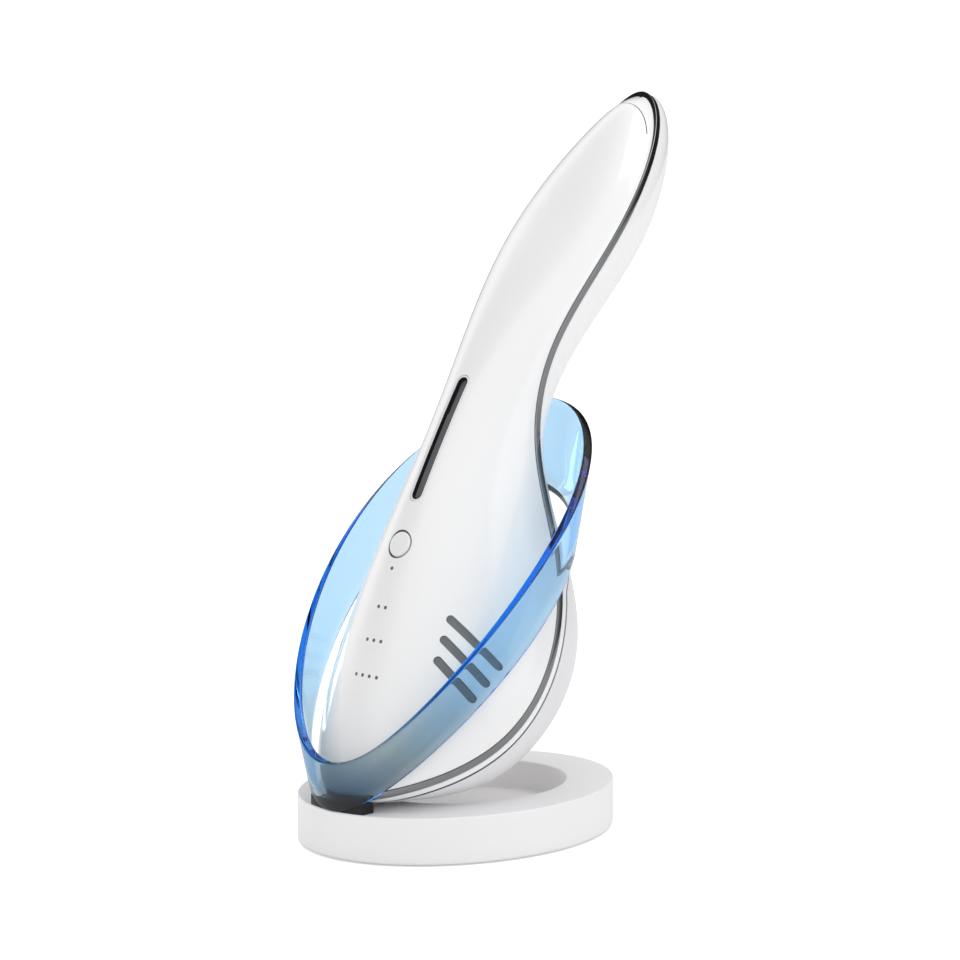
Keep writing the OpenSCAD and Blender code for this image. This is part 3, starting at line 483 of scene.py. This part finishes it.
join(wires,
     (where.outputs["Object"], ripple.inputs["Vector"]), (ripple.outputs["Fac"], bump.inputs["Height"]),
     (ripple.outputs["Fac"], haze.inputs["Value"]), (haze.outputs["Result"], shader.inputs["Roughness"]),
     (where.outputs["Object"], from_foot.inputs[0]), (from_foot.outputs["Value"], foot_shade_fade.inputs["Value"]),
     (foot_shade_fade.outputs["Result"], painted_shade_tint.inputs["Fac"]),
     (painted_shade_tint.outputs["Color"], shader.inputs["Base Color"]),
     (bump.outputs["Normal"], shader.inputs["Normal"]),
     (tint.outputs[0], wires.nodes["Material Output"].inputs["Volume"]))

ring_wall, hem_thins, thin_part = 0.0022, 0.6, 0.2
ring = grown("cradle_ring", tree, {"Material": clear_blue})
shape = bmesh.new()
shape.from_mesh(ring.data)
bmesh.ops.recalc_face_normals(shape, faces=shape.faces)
if max(shape.faces, key=lambda f: f.calc_center_median().x).normal.x < 0:
    bmesh.ops.reverse_faces(shape, faces=shape.faces)
shape.to_mesh(ring.data)
shape.free()
thinner = ring.vertex_groups.new(name="wall")
for i, up in enumerate(ring.data.attributes["rise"].data):
    thinner.add([i], hem_thins + (1 - hem_thins) * min(1, up.value / thin_part), "REPLACE")
wall = ring.modifiers.new("wall", "SOLIDIFY")
wall.thickness = ring_wall
wall.vertex_group = "wall"
wall.offset = -1
wall.use_even_offset = True
rounded = ring.modifiers.new("rounded", "BEVEL")
rounded.width = 0.0006
rounded.segments = 4
rounded.limit_method = "ANGLE"
rounded.angle_limit = math.radians(40)
plain(ring)
for v in ring.data.vertices:
    v.co.z = max(v.co.z, base_h / 1000 + 0.00002)

foot_wid, foot_len, foot_in, foot_h, foot_edge = 18, 5.6, 0.5, 2.7, 0.35
peg_d, peg_low, peg_apart, peg_back = 4.6, 7, 11, 4.9


def foot_loop(x):
    """The foot's section at x, measured back from the base's edge"""
    front = -(base_len / 2 - foot_in) * math.sqrt(1 - (x / (base_wid / 2 - foot_in)) ** 2)
    back = -base_len / 2 + foot_len - front
    near = [(0, 0), (0, foot_h - foot_edge), (0.1, foot_h - 0.1), (foot_edge, foot_h)]
    far = [(back - foot_edge, foot_h), (back - 0.1, foot_h - 0.1), (back, foot_h - foot_edge), (back, 0)]
    return np.array([(x, front + d, base_h + h) for d, h in near + far])


def capped(loops):
    """Faces over open-ended loops, with both ends closed"""
    points, faces = skin_over(loops)
    count = len(loops[0])
    end = len(points) - count
    return points, faces + [tuple(range(count))[::-1], tuple(range(end, end + count))]


def carved(item, others, how="DIFFERENCE"):
    """The others cut, or join, the item"""
    for other in others:
        step = item.modifiers.new("carve", "BOOLEAN")
        step.operation = how
        step.solver = "MANIFOLD"
        step.object = other
    plain(item)
    for other in others:
        bpy.data.objects.remove(other)
    return item


def pin(name, radius, low, high, centre):
    """An upright pin with a chamfer at its lower end"""
    turn, loops = spin[::4], []
    for r, z in ((0, low), (radius - 0.3, low), (radius, low + 0.3), (radius, high), (0, high)):
        loops.append(np.stack([centre[0] + r * np.cos(turn), centre[1] + r * np.sin(turn), 0 * turn + z], 1))
    return solid(name, *skin_over(loops))


# The foot's near-black colour is painted shade: the foot is of the ring's clear plastic, which only looks
# near-black there.
foot_painted_dark = moulded("foot_painted_shade", (0.006, 0.007, 0.01), 0.12, spread=0.1, extra=[("Specular IOR Level", 0.3)])
foot_loops = [foot_loop(x) for x in np.linspace(-foot_wid / 2, foot_wid / 2, 33)]
foot = solid("cradle_foot", *capped(foot_loops), foot_painted_dark)
pegs = []
for s in (-1, 1):
    pegs.append(pin("peg", peg_d / 2, peg_low, base_h + 0.5, (s * peg_apart / 2, -base_len / 2 + peg_back)))
carved(foot, pegs, "UNION")
for item in (ring, foot):
    smooth(item, 40)
    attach(item, "stand")
    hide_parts("cradle")


# ---------- Front cover ----------
# Glossy white cover over the whole front, with openings for key, window and vents. Moulded and polished.
# It is screwed to the frame plate behind it. A fine dark strip of painted shade lies in the crease near the
# tip, where a flat facet begins.
body_rows = [
    [(-43, 2), (-43, 2), (-43, 2), 0],
    [(-33.25, 5.25), (-37, 8.5), (-29.5, 2), 16.5],
    [(-11, 13.5), (-32, 28.5), (-2, -0.5), 28],
    [(7, 32), (-25.5, 46), (27, 21.5), 28],
    [(16, 56.5), (-19, 64), (29, 45), 21.5],
    [(13, 83), (-5.5, 87.5), (15.5, 73), 12.5],
    [(18.5, 109.5), (12.5, 114.5), (28, 102.5), 13],
    [(40, 134.5), (35.5, 137.5), (60, 129), 18.5],
    [(64.25, 159), (55.5, 159.5), (73, 158.5), 11],
    [(70, 171), (70, 171), (70, 171), 0]]
top_row = len(body_rows) - 1
wall_t, trim_half, slit, tip_step = 2.0, 0.9, 0.05, 1.4
tip_crease, tip_run, tip_flat = 61.8, 6.5, 1.0
crease_half_len, crease_wid, crease_deep, crease_bend = 9.5, 0.32, 0.6, 0.0037


def mirrored(r):
    """A row turned over past the skin's end, so that the skin closes there"""
    return [*(np.add(r[1], r[2]) - r[0]), *r[2], *r[1], -r[3]]


table_rows = np.array([mirrored(body_rows[1])] + [[*r[0], *r[1], *r[2], r[3]] for r in body_rows]
                      + [mirrored(body_rows[-2])], float)


def outline(u):
    """Split point, front point, rear point and half width at u rows from the grip's end"""
    i = np.clip(np.floor(u).astype(int), 0, top_row - 1)
    f = u - i
    share = ((1 - f) ** 3, 3 * f ** 3 - 6 * f ** 2 + 4, -3 * f ** 3 + 3 * f ** 2 + 3 * f + 1, f ** 3)
    return sum(s[..., None] / 6 * table_rows[i + k] for k, s in enumerate(share))


def along(u, line):
    """The way that the split line (0), front line (1) or rear line (2) runs"""
    v = np.clip(u, 0.05, top_row - 0.05)
    d = (outline(v + 0.02) - outline(v - 0.02))[..., 2 * line:2 * line + 2]
    return d / np.linalg.norm(d, axis=-1, keepdims=True)


def forward(u):
    """The way from the split line to the front"""
    t = along(u, 0)
    return np.stack([-t[..., 1], t[..., 0]], -1)


def step_in(u, side):
    """How far the front cover stays inside the strip's edge near the tip"""
    return tip_step * np.maximum(0, u - top_row + 1.6) ** 1.5 / 2 if side > 0 else np.zeros_like(u)


def edge_in(u, inset):
    """Half width and split point, in from the outline's edge"""
    v = np.clip(u, 0.05, top_row - 0.05)
    step = outline(v + 0.02) - outline(v - 0.02)
    run = np.hypot(step[..., 0], step[..., 1])
    length = np.hypot(step[..., 6], run)
    here = outline(u)
    end = (u <= 0) | (u >= top_row)
    x = np.where(end, 0, here[..., 6] - inset * run / length)
    shift = np.where(end, np.where(u <= 0, inset, -inset), inset * step[..., 6] / length)
    return x, here[..., :2] + along(u, 0) * shift[..., None]


def crease_line(x):
    """How far back the tip's facet begins"""
    return tip_crease - crease_bend * np.abs(x) ** 3


def skin(u, a, side):
    """A point of the outer skin, a degrees round the half section"""
    u, a = np.broadcast_arrays(np.asarray(u, float), np.asarray(a, float))
    x, q = edge_in(u, step_in(u, side))
    here = outline(u)
    reach = (here[..., 2:4] if side > 0 else here[..., 4:6]) - here[..., :2]
    power = 2 / (2 if side > 0 else 2.3)
    c, s = np.cos(np.radians(a)), np.sin(np.radians(a))
    q = q + side * (trim_half + slit) * forward(u) + reach * (np.sign(s) * np.abs(s) ** power)[..., None]
    past = np.clip((q[..., 0] - crease_line(x * c)) / tip_run, 0, 1) if side > 0 else np.zeros_like(x)
    z = q[..., 1] + base_h - tip_flat * past * (1 - past) * s
    return np.stack([x * np.sign(c) * np.abs(c) ** power, q[..., 0], z], -1)


def skin_out(u, a, side):
    """The way out of the skin"""
    u, a = np.broadcast_arrays(np.asarray(u, float), np.asarray(a, float))
    v, b = np.clip(u, 0.1, top_row - 0.1), np.clip(a, 3, 177)
    lengthways = skin(v + 0.04, b, side) - skin(v - 0.04, b, side)
    n = side * np.cross(lengthways, skin(v, b + 2, side) - skin(v, b - 2, side))
    return n / np.linalg.norm(n, axis=-1, keepdims=True)


def rim_point(u, sign, side, inset):
    """A point of the cover's rim along the split line, in from its edge"""
    x, q = edge_in(u, step_in(u, side) + inset)
    q = q + side * (trim_half + slit) * forward(u)
    return np.stack([x * sign, q[..., 0], q[..., 1] + base_h], -1)


per_row = 14
stations = np.linspace(0, top_row, top_row * per_row + 1)
turns = np.linspace(4, 176, 53)


def skin_rows(side, deep, soft_edge):
    """Rows of points on the skin, deep below it, with a small chamfer at the split line"""
    here = outline(stations)
    reach = np.linalg.norm((here[:, 2:4] if side > 0 else here[:, 4:6]) - here[:, :2], axis=-1)
    share = np.clip(soft_edge / np.maximum(reach, 0.01), 0, 0.05)
    low = np.degrees(np.arcsin(share ** (1 if side > 0 else 1.15)))
    angles = np.concatenate([low[:, None], np.tile(turns, (stations.size, 1)), 180 - low[:, None]], 1)
    u = np.repeat(stations[:, None], angles.shape[1], 1)
    rows = skin(u, angles, side) - deep * skin_out(u, angles, side)
    first, final = [rim_point(stations, s, side, deep + soft_edge)[:, None] for s in (1, -1)]
    if deep:
        rows[:, 0] = (first[:, 0] + rows[:, 1]) / 2
        rows[:, -1] = (final[:, 0] + rows[:, -2]) / 2
    rows = np.concatenate([first, rows, final], 1)
    rows[0], rows[-1] = skin(0.0, 90, side), skin(float(top_row), 90, side)
    return rows


def cover(name, side, top, deep, start, stop, finish=None):
    """A half skin between two depths, hollow from row start to row stop and solid beyond"""
    outer, inner = skin_rows(side, top, 0.2), skin_rows(side, deep, 0.0)
    middle = (rim_point(stations, 1, side, 0.2) + rim_point(stations, -1, side, 0.2)) / 2
    filled = (stations < start) | (stations > stop)
    inner[filled] = middle[filled][:, None]
    inner[0], inner[-1] = outer[0], outer[-1]
    loops = [np.concatenate([outer[j], inner[j][::-1]]) for j in range(stations.size)]
    return solid(name, *skin_over(loops), finish)


def seat(q, d, face=1):
    """A frame in millimetres at [y, z]: Y runs along d, Z points out to the front (1) or to the rear (-1)"""
    return np.array([[face, 0, 0, 0], [0, d[0], -face * d[1], q[0]],
                     [0, d[1], face * d[0], q[1]], [0, 0, 0, 1]], float)


def on_skin(u, side):
    """A frame on the middle line of the skin"""
    q = skin(float(u), 90, side)
    return seat(q[1:], along(np.float64(u), 1 if side > 0 else 2), side)


def placed(place, points):
    """Points of a frame in the model's own millimetres"""
    return np.asarray(points, float) @ place[:3, :3].T + place[:3, 3]


well_out = 15


def track(length, width, out):
    """Points round a slot's outline, out from it"""
    r, h = width / 2 + out, (length - width) / 2
    arc = np.linspace(0, math.pi, 25)
    ends = []
    for t, middle in ((arc, h), (arc + math.pi, -h)):
        ends.append(np.stack([r * np.cos(t), r * np.sin(t) + middle], 1))
    side = np.linspace(1, -1, 34)[1:-1] * h if h > 0 else np.zeros(0)
    return np.concatenate([ends[0], np.stack([-r + 0 * side, side], 1), ends[1][(0 if h else 1):],
                           np.stack([r + 0 * side, -side], 1)])[:None if h else -1]


def fitted(name, place, length, width, profile, ground=None, ring=False, finish=None, crease=35):
    """A slot-shaped piece from a profile of [out, up], which hugs the ground where one is given"""
    loops = []
    down = Vector(-place[:3, 2])
    for out_by, up in profile:
        flat = track(length, width, out_by)
        z = np.zeros(len(flat))
        if ground:
            for i, (x, y) in enumerate(flat):
                hit = ground.ray_cast(Vector(placed(place, [(x, y, well_out)])[0] * 0.001), down)
                z[i] = well_out - hit[3] * 1000
        loops.append(placed(place, np.column_stack([flat, z + up])))
    return solid(name, *skin_over(loops, ring), finish, crease)


def slot_tool(place, length, width, low, high):
    """A slot-shaped tool from low to high, to cut an opening"""
    profile = [(-width / 2, low), (0, low), (0, high), (-width / 2, high)]
    return fitted("slot_tool", place, length, width, profile)


def ground_of(item):
    """The item's surface as it is now, to seat other pieces on"""
    return BVHTree.FromObject(item, bpy.context.evaluated_depsgraph_get())


button_at, window_at, face_at, socket_at = 3.88, 4.97, 2.6, 8.05
button_d, button_gap, ring_wid = 6.6, 0.15, 0.2
window_len, window_wid, bezel_wid = 33, 3, 0.6
vent_wid, vent_turn, loose = 2.0, -28, 0.1
vents = [(2.94, 39.5, 17), (2.69, 41.5, 15.4), (2.44, 43, 13.4)]


def vent_seat(u, a, flip):
    """A frame on the front skin, its Y along the vent"""
    z = skin_out(u, a, 1)
    y = skin(u, a + 2, 1) - skin(u, a - 2, 1)
    y /= np.linalg.norm(y)
    x = np.cross(y, z)
    t = math.radians(vent_turn)
    place = np.eye(4)
    place[:3, 0] = math.cos(t) * x + math.sin(t) * y
    place[:3, 1] = math.cos(t) * y - math.sin(t) * x
    place[:3, 2] = z
    place[:3, 3] = skin(u, a, 1)
    place[0, :] *= flip
    place[:3, 0] *= flip
    return place


def crease_bar(name, half, top, bottom, finish=None):
    """A thin bar along the line where the tip's facet begins, shallower to its ends"""
    loops = []
    for x in np.linspace(-crease_half_len, crease_half_len, 49):
        y = crease_line(x)
        from_above = Vector((x, y, 200)) * 0.001
        z = front_ground.ray_cast(from_above, Vector((0, 0, -1)))[0].z * 1000
        ebb = 1 - (x / (crease_half_len + 0.3)) ** 4
        low, high = z - bottom * ebb, z - min(top, top * ebb)
        near, far = y - half, y + half
        loops.append(np.array([(x, near, high), (x, far, high), (x, far, low), (x, near, low)]))
    return solid(name, *capped(loops), finish)


gloss_white = moulded("polished_white", (0.9, 0.9, 0.905), 0.12, grain=500, relief=0.015, spread=0.008,
                      coat=0.5, extra=[("IOR", 1.62)])
front = cover("front_cover", 1, 0, wall_t, 0.5, 7.75, gloss_white)
front_ground = ground_of(front)
button_place, window_place = on_skin(button_at, 1), on_skin(window_at, 1)
vent_places = [(vent_seat(float(u), float(a), flip), length) for u, a, length in vents for flip in (1, -1)]
hole_d = button_d + 2 * button_gap
ring_seat, frame_seat = hole_d + 2 * (ring_wid + 0.02), 2 * (bezel_wid + loose)
tools = [slot_tool(button_place, hole_d, hole_d, -9, 2), slot_tool(button_place, ring_seat, ring_seat, -1, 3),
         slot_tool(window_place, window_len + frame_seat, window_wid + frame_seat, -3, 3)]
for place, length in vent_places:
    tools.append(slot_tool(place, length + 2 * loose, vent_wid + 2 * loose, -3, 3))
tools.append(crease_bar("crease_blade", crease_wid / 2, -0.6, crease_deep))
# A near-black finish of painted shade, for the crease near the tip, the dome's lip and the gap round the
# dome.
gap_shade = moulded("painted_shade_dark", (0.02, 0.02, 0.021), 0.7, grain=1500, relief=0.1, spread=0.1)
crease = crease_bar("crease_painted_shade", crease_wid / 2 - 0.01, 0.2, crease_deep - 0.01, gap_shade)
carved(front, tools)
smooth(front, 38)
for item in (front, crease):
    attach(item, "handset")
    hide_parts("front_shell")


# ---------- Bright strip ----------
# Dark bright-plated strip that runs all the way round the handset between its two covers.
# Bent and plated metal trim, held in the groove between the covers, and a hair proud of both.
dark_chrome = moulded("dark_chrome", (0.24, 0.246, 0.256), 0.08, grain=700, relief=0.01, spread=0.05,
                      metal=1.0)
half_strip = [(2.6, 1), (0.02, 1), (-0.09, 0.97), (-0.15, 0.9), (-0.17, 0.78)]
strip = [(inset, -share) for inset, share in half_strip] + [(-0.17, 0)] + half_strip[::-1]
loops = []
for side in (1, -1):
    for u in (stations[:-1] if side > 0 else stations[:0:-1]):
        reach = trim_half * forward(np.float64(u))
        loop = []
        for inset, level_at in strip:
            x, q = edge_in(np.float64(u), inset)
            loop.append((side * x, *(q + level_at * reach + (0, base_h))))
        loops.append(np.array(loop))
trim = solid("bright_strip", *skin_over(loops, True), dark_chrome, 50)
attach(trim, "handset")
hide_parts("side_trim")


# ---------- Rear cover ----------
# Glossy white cover behind the strip. Round the treatment head it is cut back to a narrow band.
# Moulded like the front cover, with an opening for the charging socket in the grip.
def behind(name, off):
    """The space behind a line that runs off behind the split line, from the grip's end to the head's top"""
    u = np.linspace(0.3, 3.72, 65)
    line = outline(u)[:, :2] - off * forward(u)
    a, b = line[0], line[-1]
    beyond = [(b[0] + 3, b[1] + 4), (b[0] + 8, b[1] + 8), (90, b[1] + 12), (90, -60)]
    edge = np.array([(a[0] - 1, -60), *line, *beyond])
    n = len(edge)
    points = [(x, y, z + base_h) for x in (-50, 50) for y, z in edge]
    faces = [tuple(range(n)), tuple(range(2 * n - 1, n - 1, -1))]
    faces += [(i, i + n, (i + 1) % n + n, (i + 1) % n) for i in range(n)]
    return solid(name, points, faces)


band_wid, dome_from, lip_from = 2.45, 3.02, 1.3
socket_len, socket_wid = 9.3, 3.6
quarter_turn = np.array([[0, -1, 0, 0], [1, 0, 0, 0], [0, 0, 1, 0], [0, 0, 0, 1]], float)
rear = cover("rear_cover", -1, 0, wall_t, 0.75, 8.25, gloss_white)
rear_ground = ground_of(rear)
socket_place = on_skin(socket_at, -1) @ quarter_turn
carved(rear, [behind("seam_space", band_wid), slot_tool(socket_place, socket_len, socket_wid, -6, 2)])
smooth(rear, 38)
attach(rear, "handset")
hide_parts("rear_shell")


# ---------- Treatment head ----------
# Light grey satin dome that closes the rear of the head, with a round opening for the treatment face.
# It is moulded apart from the rear cover and plugs into it with a lip. The lip and a thin strip inside the
# gap are near-black, painted shade in the seam.
contact_d, lens_d = 27, 20.8
face_hole = contact_d + 2 * loose
face_place = on_skin(face_at, -1)
satin_grey = moulded("satin_grey", (0.78, 0.78, 0.8), 0.36, grain=1500, relief=0.06, spread=0.015)
head = cover("treatment_dome", -1, 0, 2.4, 0.3, 8.4, satin_grey)
carved(head, [behind("dome_space", dome_from)], "INTERSECT")
carved(head, [slot_tool(face_place, face_hole, face_hole, -8, 2)])
# The lip and a thin strip inside the seam's gap take the painted shade, so that the seam reads as a dark
# line.
lip = cover("dome_lip", -1, 2.1, 3.4, 0.75, 8.2, gap_shade)
carved(lip, [behind("lip_space", lip_from)], "INTERSECT")
carved(lip, [slot_tool(face_place, face_hole, face_hole, -12, 2)])
seam = cover("seam_painted_shade", -1, 0.3, 2.3, 0.75, 8.2, gap_shade)
carved(seam, [behind("seam_front", band_wid - 0.01)], "INTERSECT")
carved(seam, [behind("seam_rear", dome_from + 0.01)])
for item in (head, lip, seam):
    smooth(item, 38)
    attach(item, "handset")
    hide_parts("treatment_head")


# ---------- Treatment face ----------
# Polished steel contact ring round a frosted window, through which a ring of small lights shines on the skin.
# The ring is turned and stands a little proud. The window is moulded and set in it from behind.
steel_face = moulded("contact_steel", (0.78, 0.76, 0.73), 0.16, grain=1600, relief=0.03, spread=0.04,
                     metal=1.0)
ring_profile = [(-3, -2.4), (-3, 0.1), (-2.85, 0.3), (-2.5, 0.4), (-0.5, 0.4), (-0.15, 0.3), (0, 0.1),
                (0, -2.4)]
contact = fitted("contact_ring_turned", face_place, contact_d, contact_d, ring_profile, rear_ground, True,
                 steel_face)
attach(contact, "handset")
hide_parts("contact_ring")
frosted = moulded("frosted_window", (0.86, 0.62, 0.6), 0.4, grain=2400, relief=0.08, spread=0.05,
                  extra=[("Transmission Weight", 0.6)])
lens_profile = [(-lens_d / 2, 0.05), (-6, 0.05), (-3, 0.04), (-0.5, 0), (-0.15, -0.05), (0, -0.25), (0, -1.6),
                (-lens_d / 2, -1.6)]
lens = fitted("face_window", face_place, lens_d, lens_d, lens_profile, rear_ground, False, frosted)
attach(lens, "handset")
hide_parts("light_lens")


# ---------- Power key ----------
# Round white key with a crowned face that works a small switch on the board below it.
# It is guided by the hole in the front cover, and a thin grey ring lines the hole. Its dark grey is partly
# painted shade of the gap round the key.
def turned_piece(name, place, profile, finish):
    """A round piece from a profile of [radius, height]"""
    turn, loops = spin[::2], []
    for r, z in profile:
        loops.append(placed(place, np.stack([r * np.cos(turn), r * np.sin(turn), 0 * turn + z], 1)))
    return solid(name, *skin_over(loops), finish)


key_proud, crown_r, flange_r, stem_r = 0.3, 15.5, 4.3, 1.5


def crown(r):
    """Height of the key's crowned face"""
    return key_proud - crown_r + math.sqrt(crown_r ** 2 - r ** 2)


key_white = moulded("key_white", (0.84, 0.84, 0.85), 0.22, relief=0.03, spread=0.01)
shoulder = [(0, 0), (0.8, 0), (1.6, 0), (2.3, 0), (2.7, 0), (2.9, 0.03), (3.1, 0.14), (3.23, 0.32)]
profile = [(r, crown(r) - fall) for r, fall in shoulder]
profile += [(button_d / 2, -0.6), (button_d / 2, -3), (flange_r, -3), (flange_r, -3.8)]
profile += [(stem_r, -3.8), (stem_r, -4.85), (0, -4.85)]
key = turned_piece("power_key", button_place, profile, key_white)
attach(key, "button")
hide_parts("power_button")
ring_profile = [(0.02, -1), (0.02, -0.2), (0.05, -0.03), (0.1, 0.02), (0.15, 0.02), (ring_wid, -0.03),
                (ring_wid, -1)]
# The ring's dark grey is partly its own tone and partly painted shade, for the shadowed gap round the key.
ring_grey_and_shade = moulded("key_ring_grey_and_shade", (0.2, 0.2, 0.205), 0.2, metal=0.6)
key_ring = fitted("key_ring", button_place, hole_d, hole_d, ring_profile, front_ground, True, ring_grey_and_shade)
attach(key_ring, "handset")
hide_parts("button_ring")


# ---------- Indicator window ----------
# Long dark window of smoked plastic in the neck, over five small lights, in a thin grey frame.
# Window and frame are pressed into one slot of the front cover and lie level with it.
smoked = moulded("smoked_window", (0.012, 0.012, 0.014), 0.2, grain=600, relief=0.01, spread=0.1,
                 extra=[("Specular IOR Level", 0.25)])
profile = [(-window_wid / 2, -1.34), (-0.9, -1.34), (-0.32, -1.32), (-0.18, -1.2), (-0.13, -0.4),
           (-0.08, -0.12), (0, -0.16), (0, -1.5), (-window_wid / 2, -1.5)]
window = fitted("smoked_window", window_place, window_len, window_wid, profile, front_ground, False, smoked)
floor_grey = moulded("window_floor_grey", (0.15, 0.154, 0.158), 0.3, spread=0.08)
window.data.materials.append(floor_grey)
out_of_cover = Vector(window_place[:3, 2])
floor_deep = 0.0008
for face in window.data.polygons:
    below = front_ground.ray_cast(face.center, out_of_cover)[3]
    if face.normal.dot(out_of_cover) > 0.8 and below and below > floor_deep:
        face.material_index = 1
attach(window, "handset")
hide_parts("indicator_window")
frame_grey = moulded("window_frame_grey", (0.8, 0.8, 0.81), 0.2, relief=0.03)
profile = [(0.1, -1.7), (0.1, -0.1), (0.18, -0.02), (0.5, -0.02), (0.58, -0.1), (bezel_wid, -1.7)]
bezel = fitted("window_frame", window_place, window_len, window_wid, profile, front_ground, True, frame_grey)
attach(bezel, "handset")
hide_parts("window_bezel")


# ---------- Mode marks ----------
# Four rows of one to four round grey dots below the key count the four ways of working.
# They are pad-printed on the front cover, in a hard grey ink that lies a hair proud of it.
tree, given, result = tree_of("round_marks", [
    ("Diameter", "NodeSocketFloat", 0.0009), ("Thickness", "NodeSocketFloat", 0.0003),
    ("Sides", "NodeSocketInt", 20), ("Material", "NodeSocketMaterial", None)])
disc = tree.nodes.new("GeometryNodeMeshCylinder")
ways = tree.nodes.new("GeometryNodeInputNamedAttribute")
ways.data_type = "FLOAT_VECTOR"
ways.inputs["Name"].default_value = "facing"
turned = tree.nodes.new("FunctionNodeAlignRotationToVector")
turned.axis = "Z"
copies = copied(tree, given, disc.outputs["Mesh"])
join(tree,
     (given.outputs["Sides"], disc.inputs["Vertices"]), (given.outputs["Thickness"], disc.inputs["Depth"]),
     (calc(tree, "MULTIPLY", given.outputs["Diameter"], 0.5), disc.inputs["Radius"]),
     (ways.outputs["Attribute"], turned.inputs["Vector"]), (turned.outputs[0], copies.inputs["Rotation"]))
finished(tree, given, result, copies.outputs[0])
mark_thick, mark_proud, mark_step = 0.3, 0.03, 2.3
mark_rows = (3.58, 3.07, 2.62, 2.15)
spots, facing = [], []
for count, u in enumerate(mark_rows, 1):
    place = on_skin(u, 1)
    for i in range(count):
        across = (i - (count - 1) / 2) * mark_step
        start = Vector(placed(place, [(across, 0, well_out)])[0] * 0.001)
        hit, normal = front_ground.ray_cast(start, Vector(-place[:3, 2]))[:2]
        spots.append(hit + normal * (mark_proud - mark_thick / 2) * 0.001)
        facing.append(normal)
ink = moulded("mark_ink", (0.12, 0.12, 0.125), 0.45, grain=2500, relief=0.05, spread=0.08)
marks = grown("mode_marks", tree, {"Material": ink, "Thickness": mark_thick / 1000}, spots, facing)
smooth(marks, 35)
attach(marks, "handset")


# ---------- Vents ----------
# Three slanting grey slots on each side of the head let the warmth of the lights out.
# Each is a small grey insert of satin plastic, pushed into its slot from inside, a little below the skin.
vent_grey = moulded("vent_grey", (0.17, 0.175, 0.18), 0.4, grain=1500, relief=0.08, spread=0.06)
profile = [(-vent_wid / 2, -0.55), (-0.5, -0.55), (-0.2, -0.5), (-0.05, -0.45), (0, -0.6), (0, -2),
           (-vent_wid / 2, -2)]
inserts = []
for place, length in vent_places:
    inserts.append(fitted("vent", place, length, vent_wid, profile, front_ground, False, vent_grey))
bpy.ops.object.select_all(action="DESELECT")
for item in inserts:
    item.select_set(True)
bpy.context.view_layer.objects.active = inserts[0]
bpy.ops.object.join()
inserts[0].name = "vent_slots"
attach(inserts[0], "handset")
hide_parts("vent_inserts")


# ---------- Boards, lights and fasteners ----------
# Two green boards and a round one carry the switch, the window's lights and the treatment lights.
# Machine-made parts, held to posts of the covers and the frame with small steel screws.
green = moulded("board_green", (0.03, 0.2, 0.08), 0.35, grain=1500, relief=0.1, spread=0.12)
for node in ("main_board", "indicator_board", "led_board"):
    dress(node, green)
amber = moulded("led_cap", (0.9, 0.8, 0.55), 0.2, grain=1200)
for node in ("indicator_leds", "treatment_leds"):
    dress(node, amber)
black = moulded("switch_black", (0.02, 0.02, 0.022), 0.4, grain=1600, relief=0.08)
for node in ("switch_body", "switch_plunger"):
    dress(node, black)
dress("board_screws", zinc)
dress("frame_screws", zinc)
pipe_clear = moulded("light_guide_clear", (0.9, 0.93, 0.95), 0.12, grain=700, relief=0.01,
                     extra=[("Transmission Weight", 0.9)])
dress("light_guide", pipe_clear)


# ---------- Frame, cell and motor ----------
# A plain moulded plate carries the rechargeable cell in its tray and the vibration motor in its rubber block.
# The charging socket is a folded metal shell at the grip's rear.
frame_white = moulded("frame_plastic", (0.6, 0.6, 0.61), 0.5, grain=1500, relief=0.1)
dress("inner_frame", frame_white)
dress("battery_tray", frame_white)
dress("battery", moulded("cell_wrap", (0.1, 0.22, 0.45), 0.3, relief=0.05, spread=0.08))
steel_case = moulded("motor_steel", (0.66, 0.66, 0.67), 0.25, grain=1900, relief=0.08, spread=0.06, metal=1.0)
dress("motor_case", steel_case)
dress("charging_socket", steel_case)
dress("motor_rotor", moulded("weight_brass", (0.6, 0.43, 0.18), 0.28, grain=1700, relief=0.1, metal=1.0))
dress("motor_mount", moulded("mount_rubber", (0.03, 0.03, 0.032), 0.8, grain=2500, relief=0.3, spread=0.15))
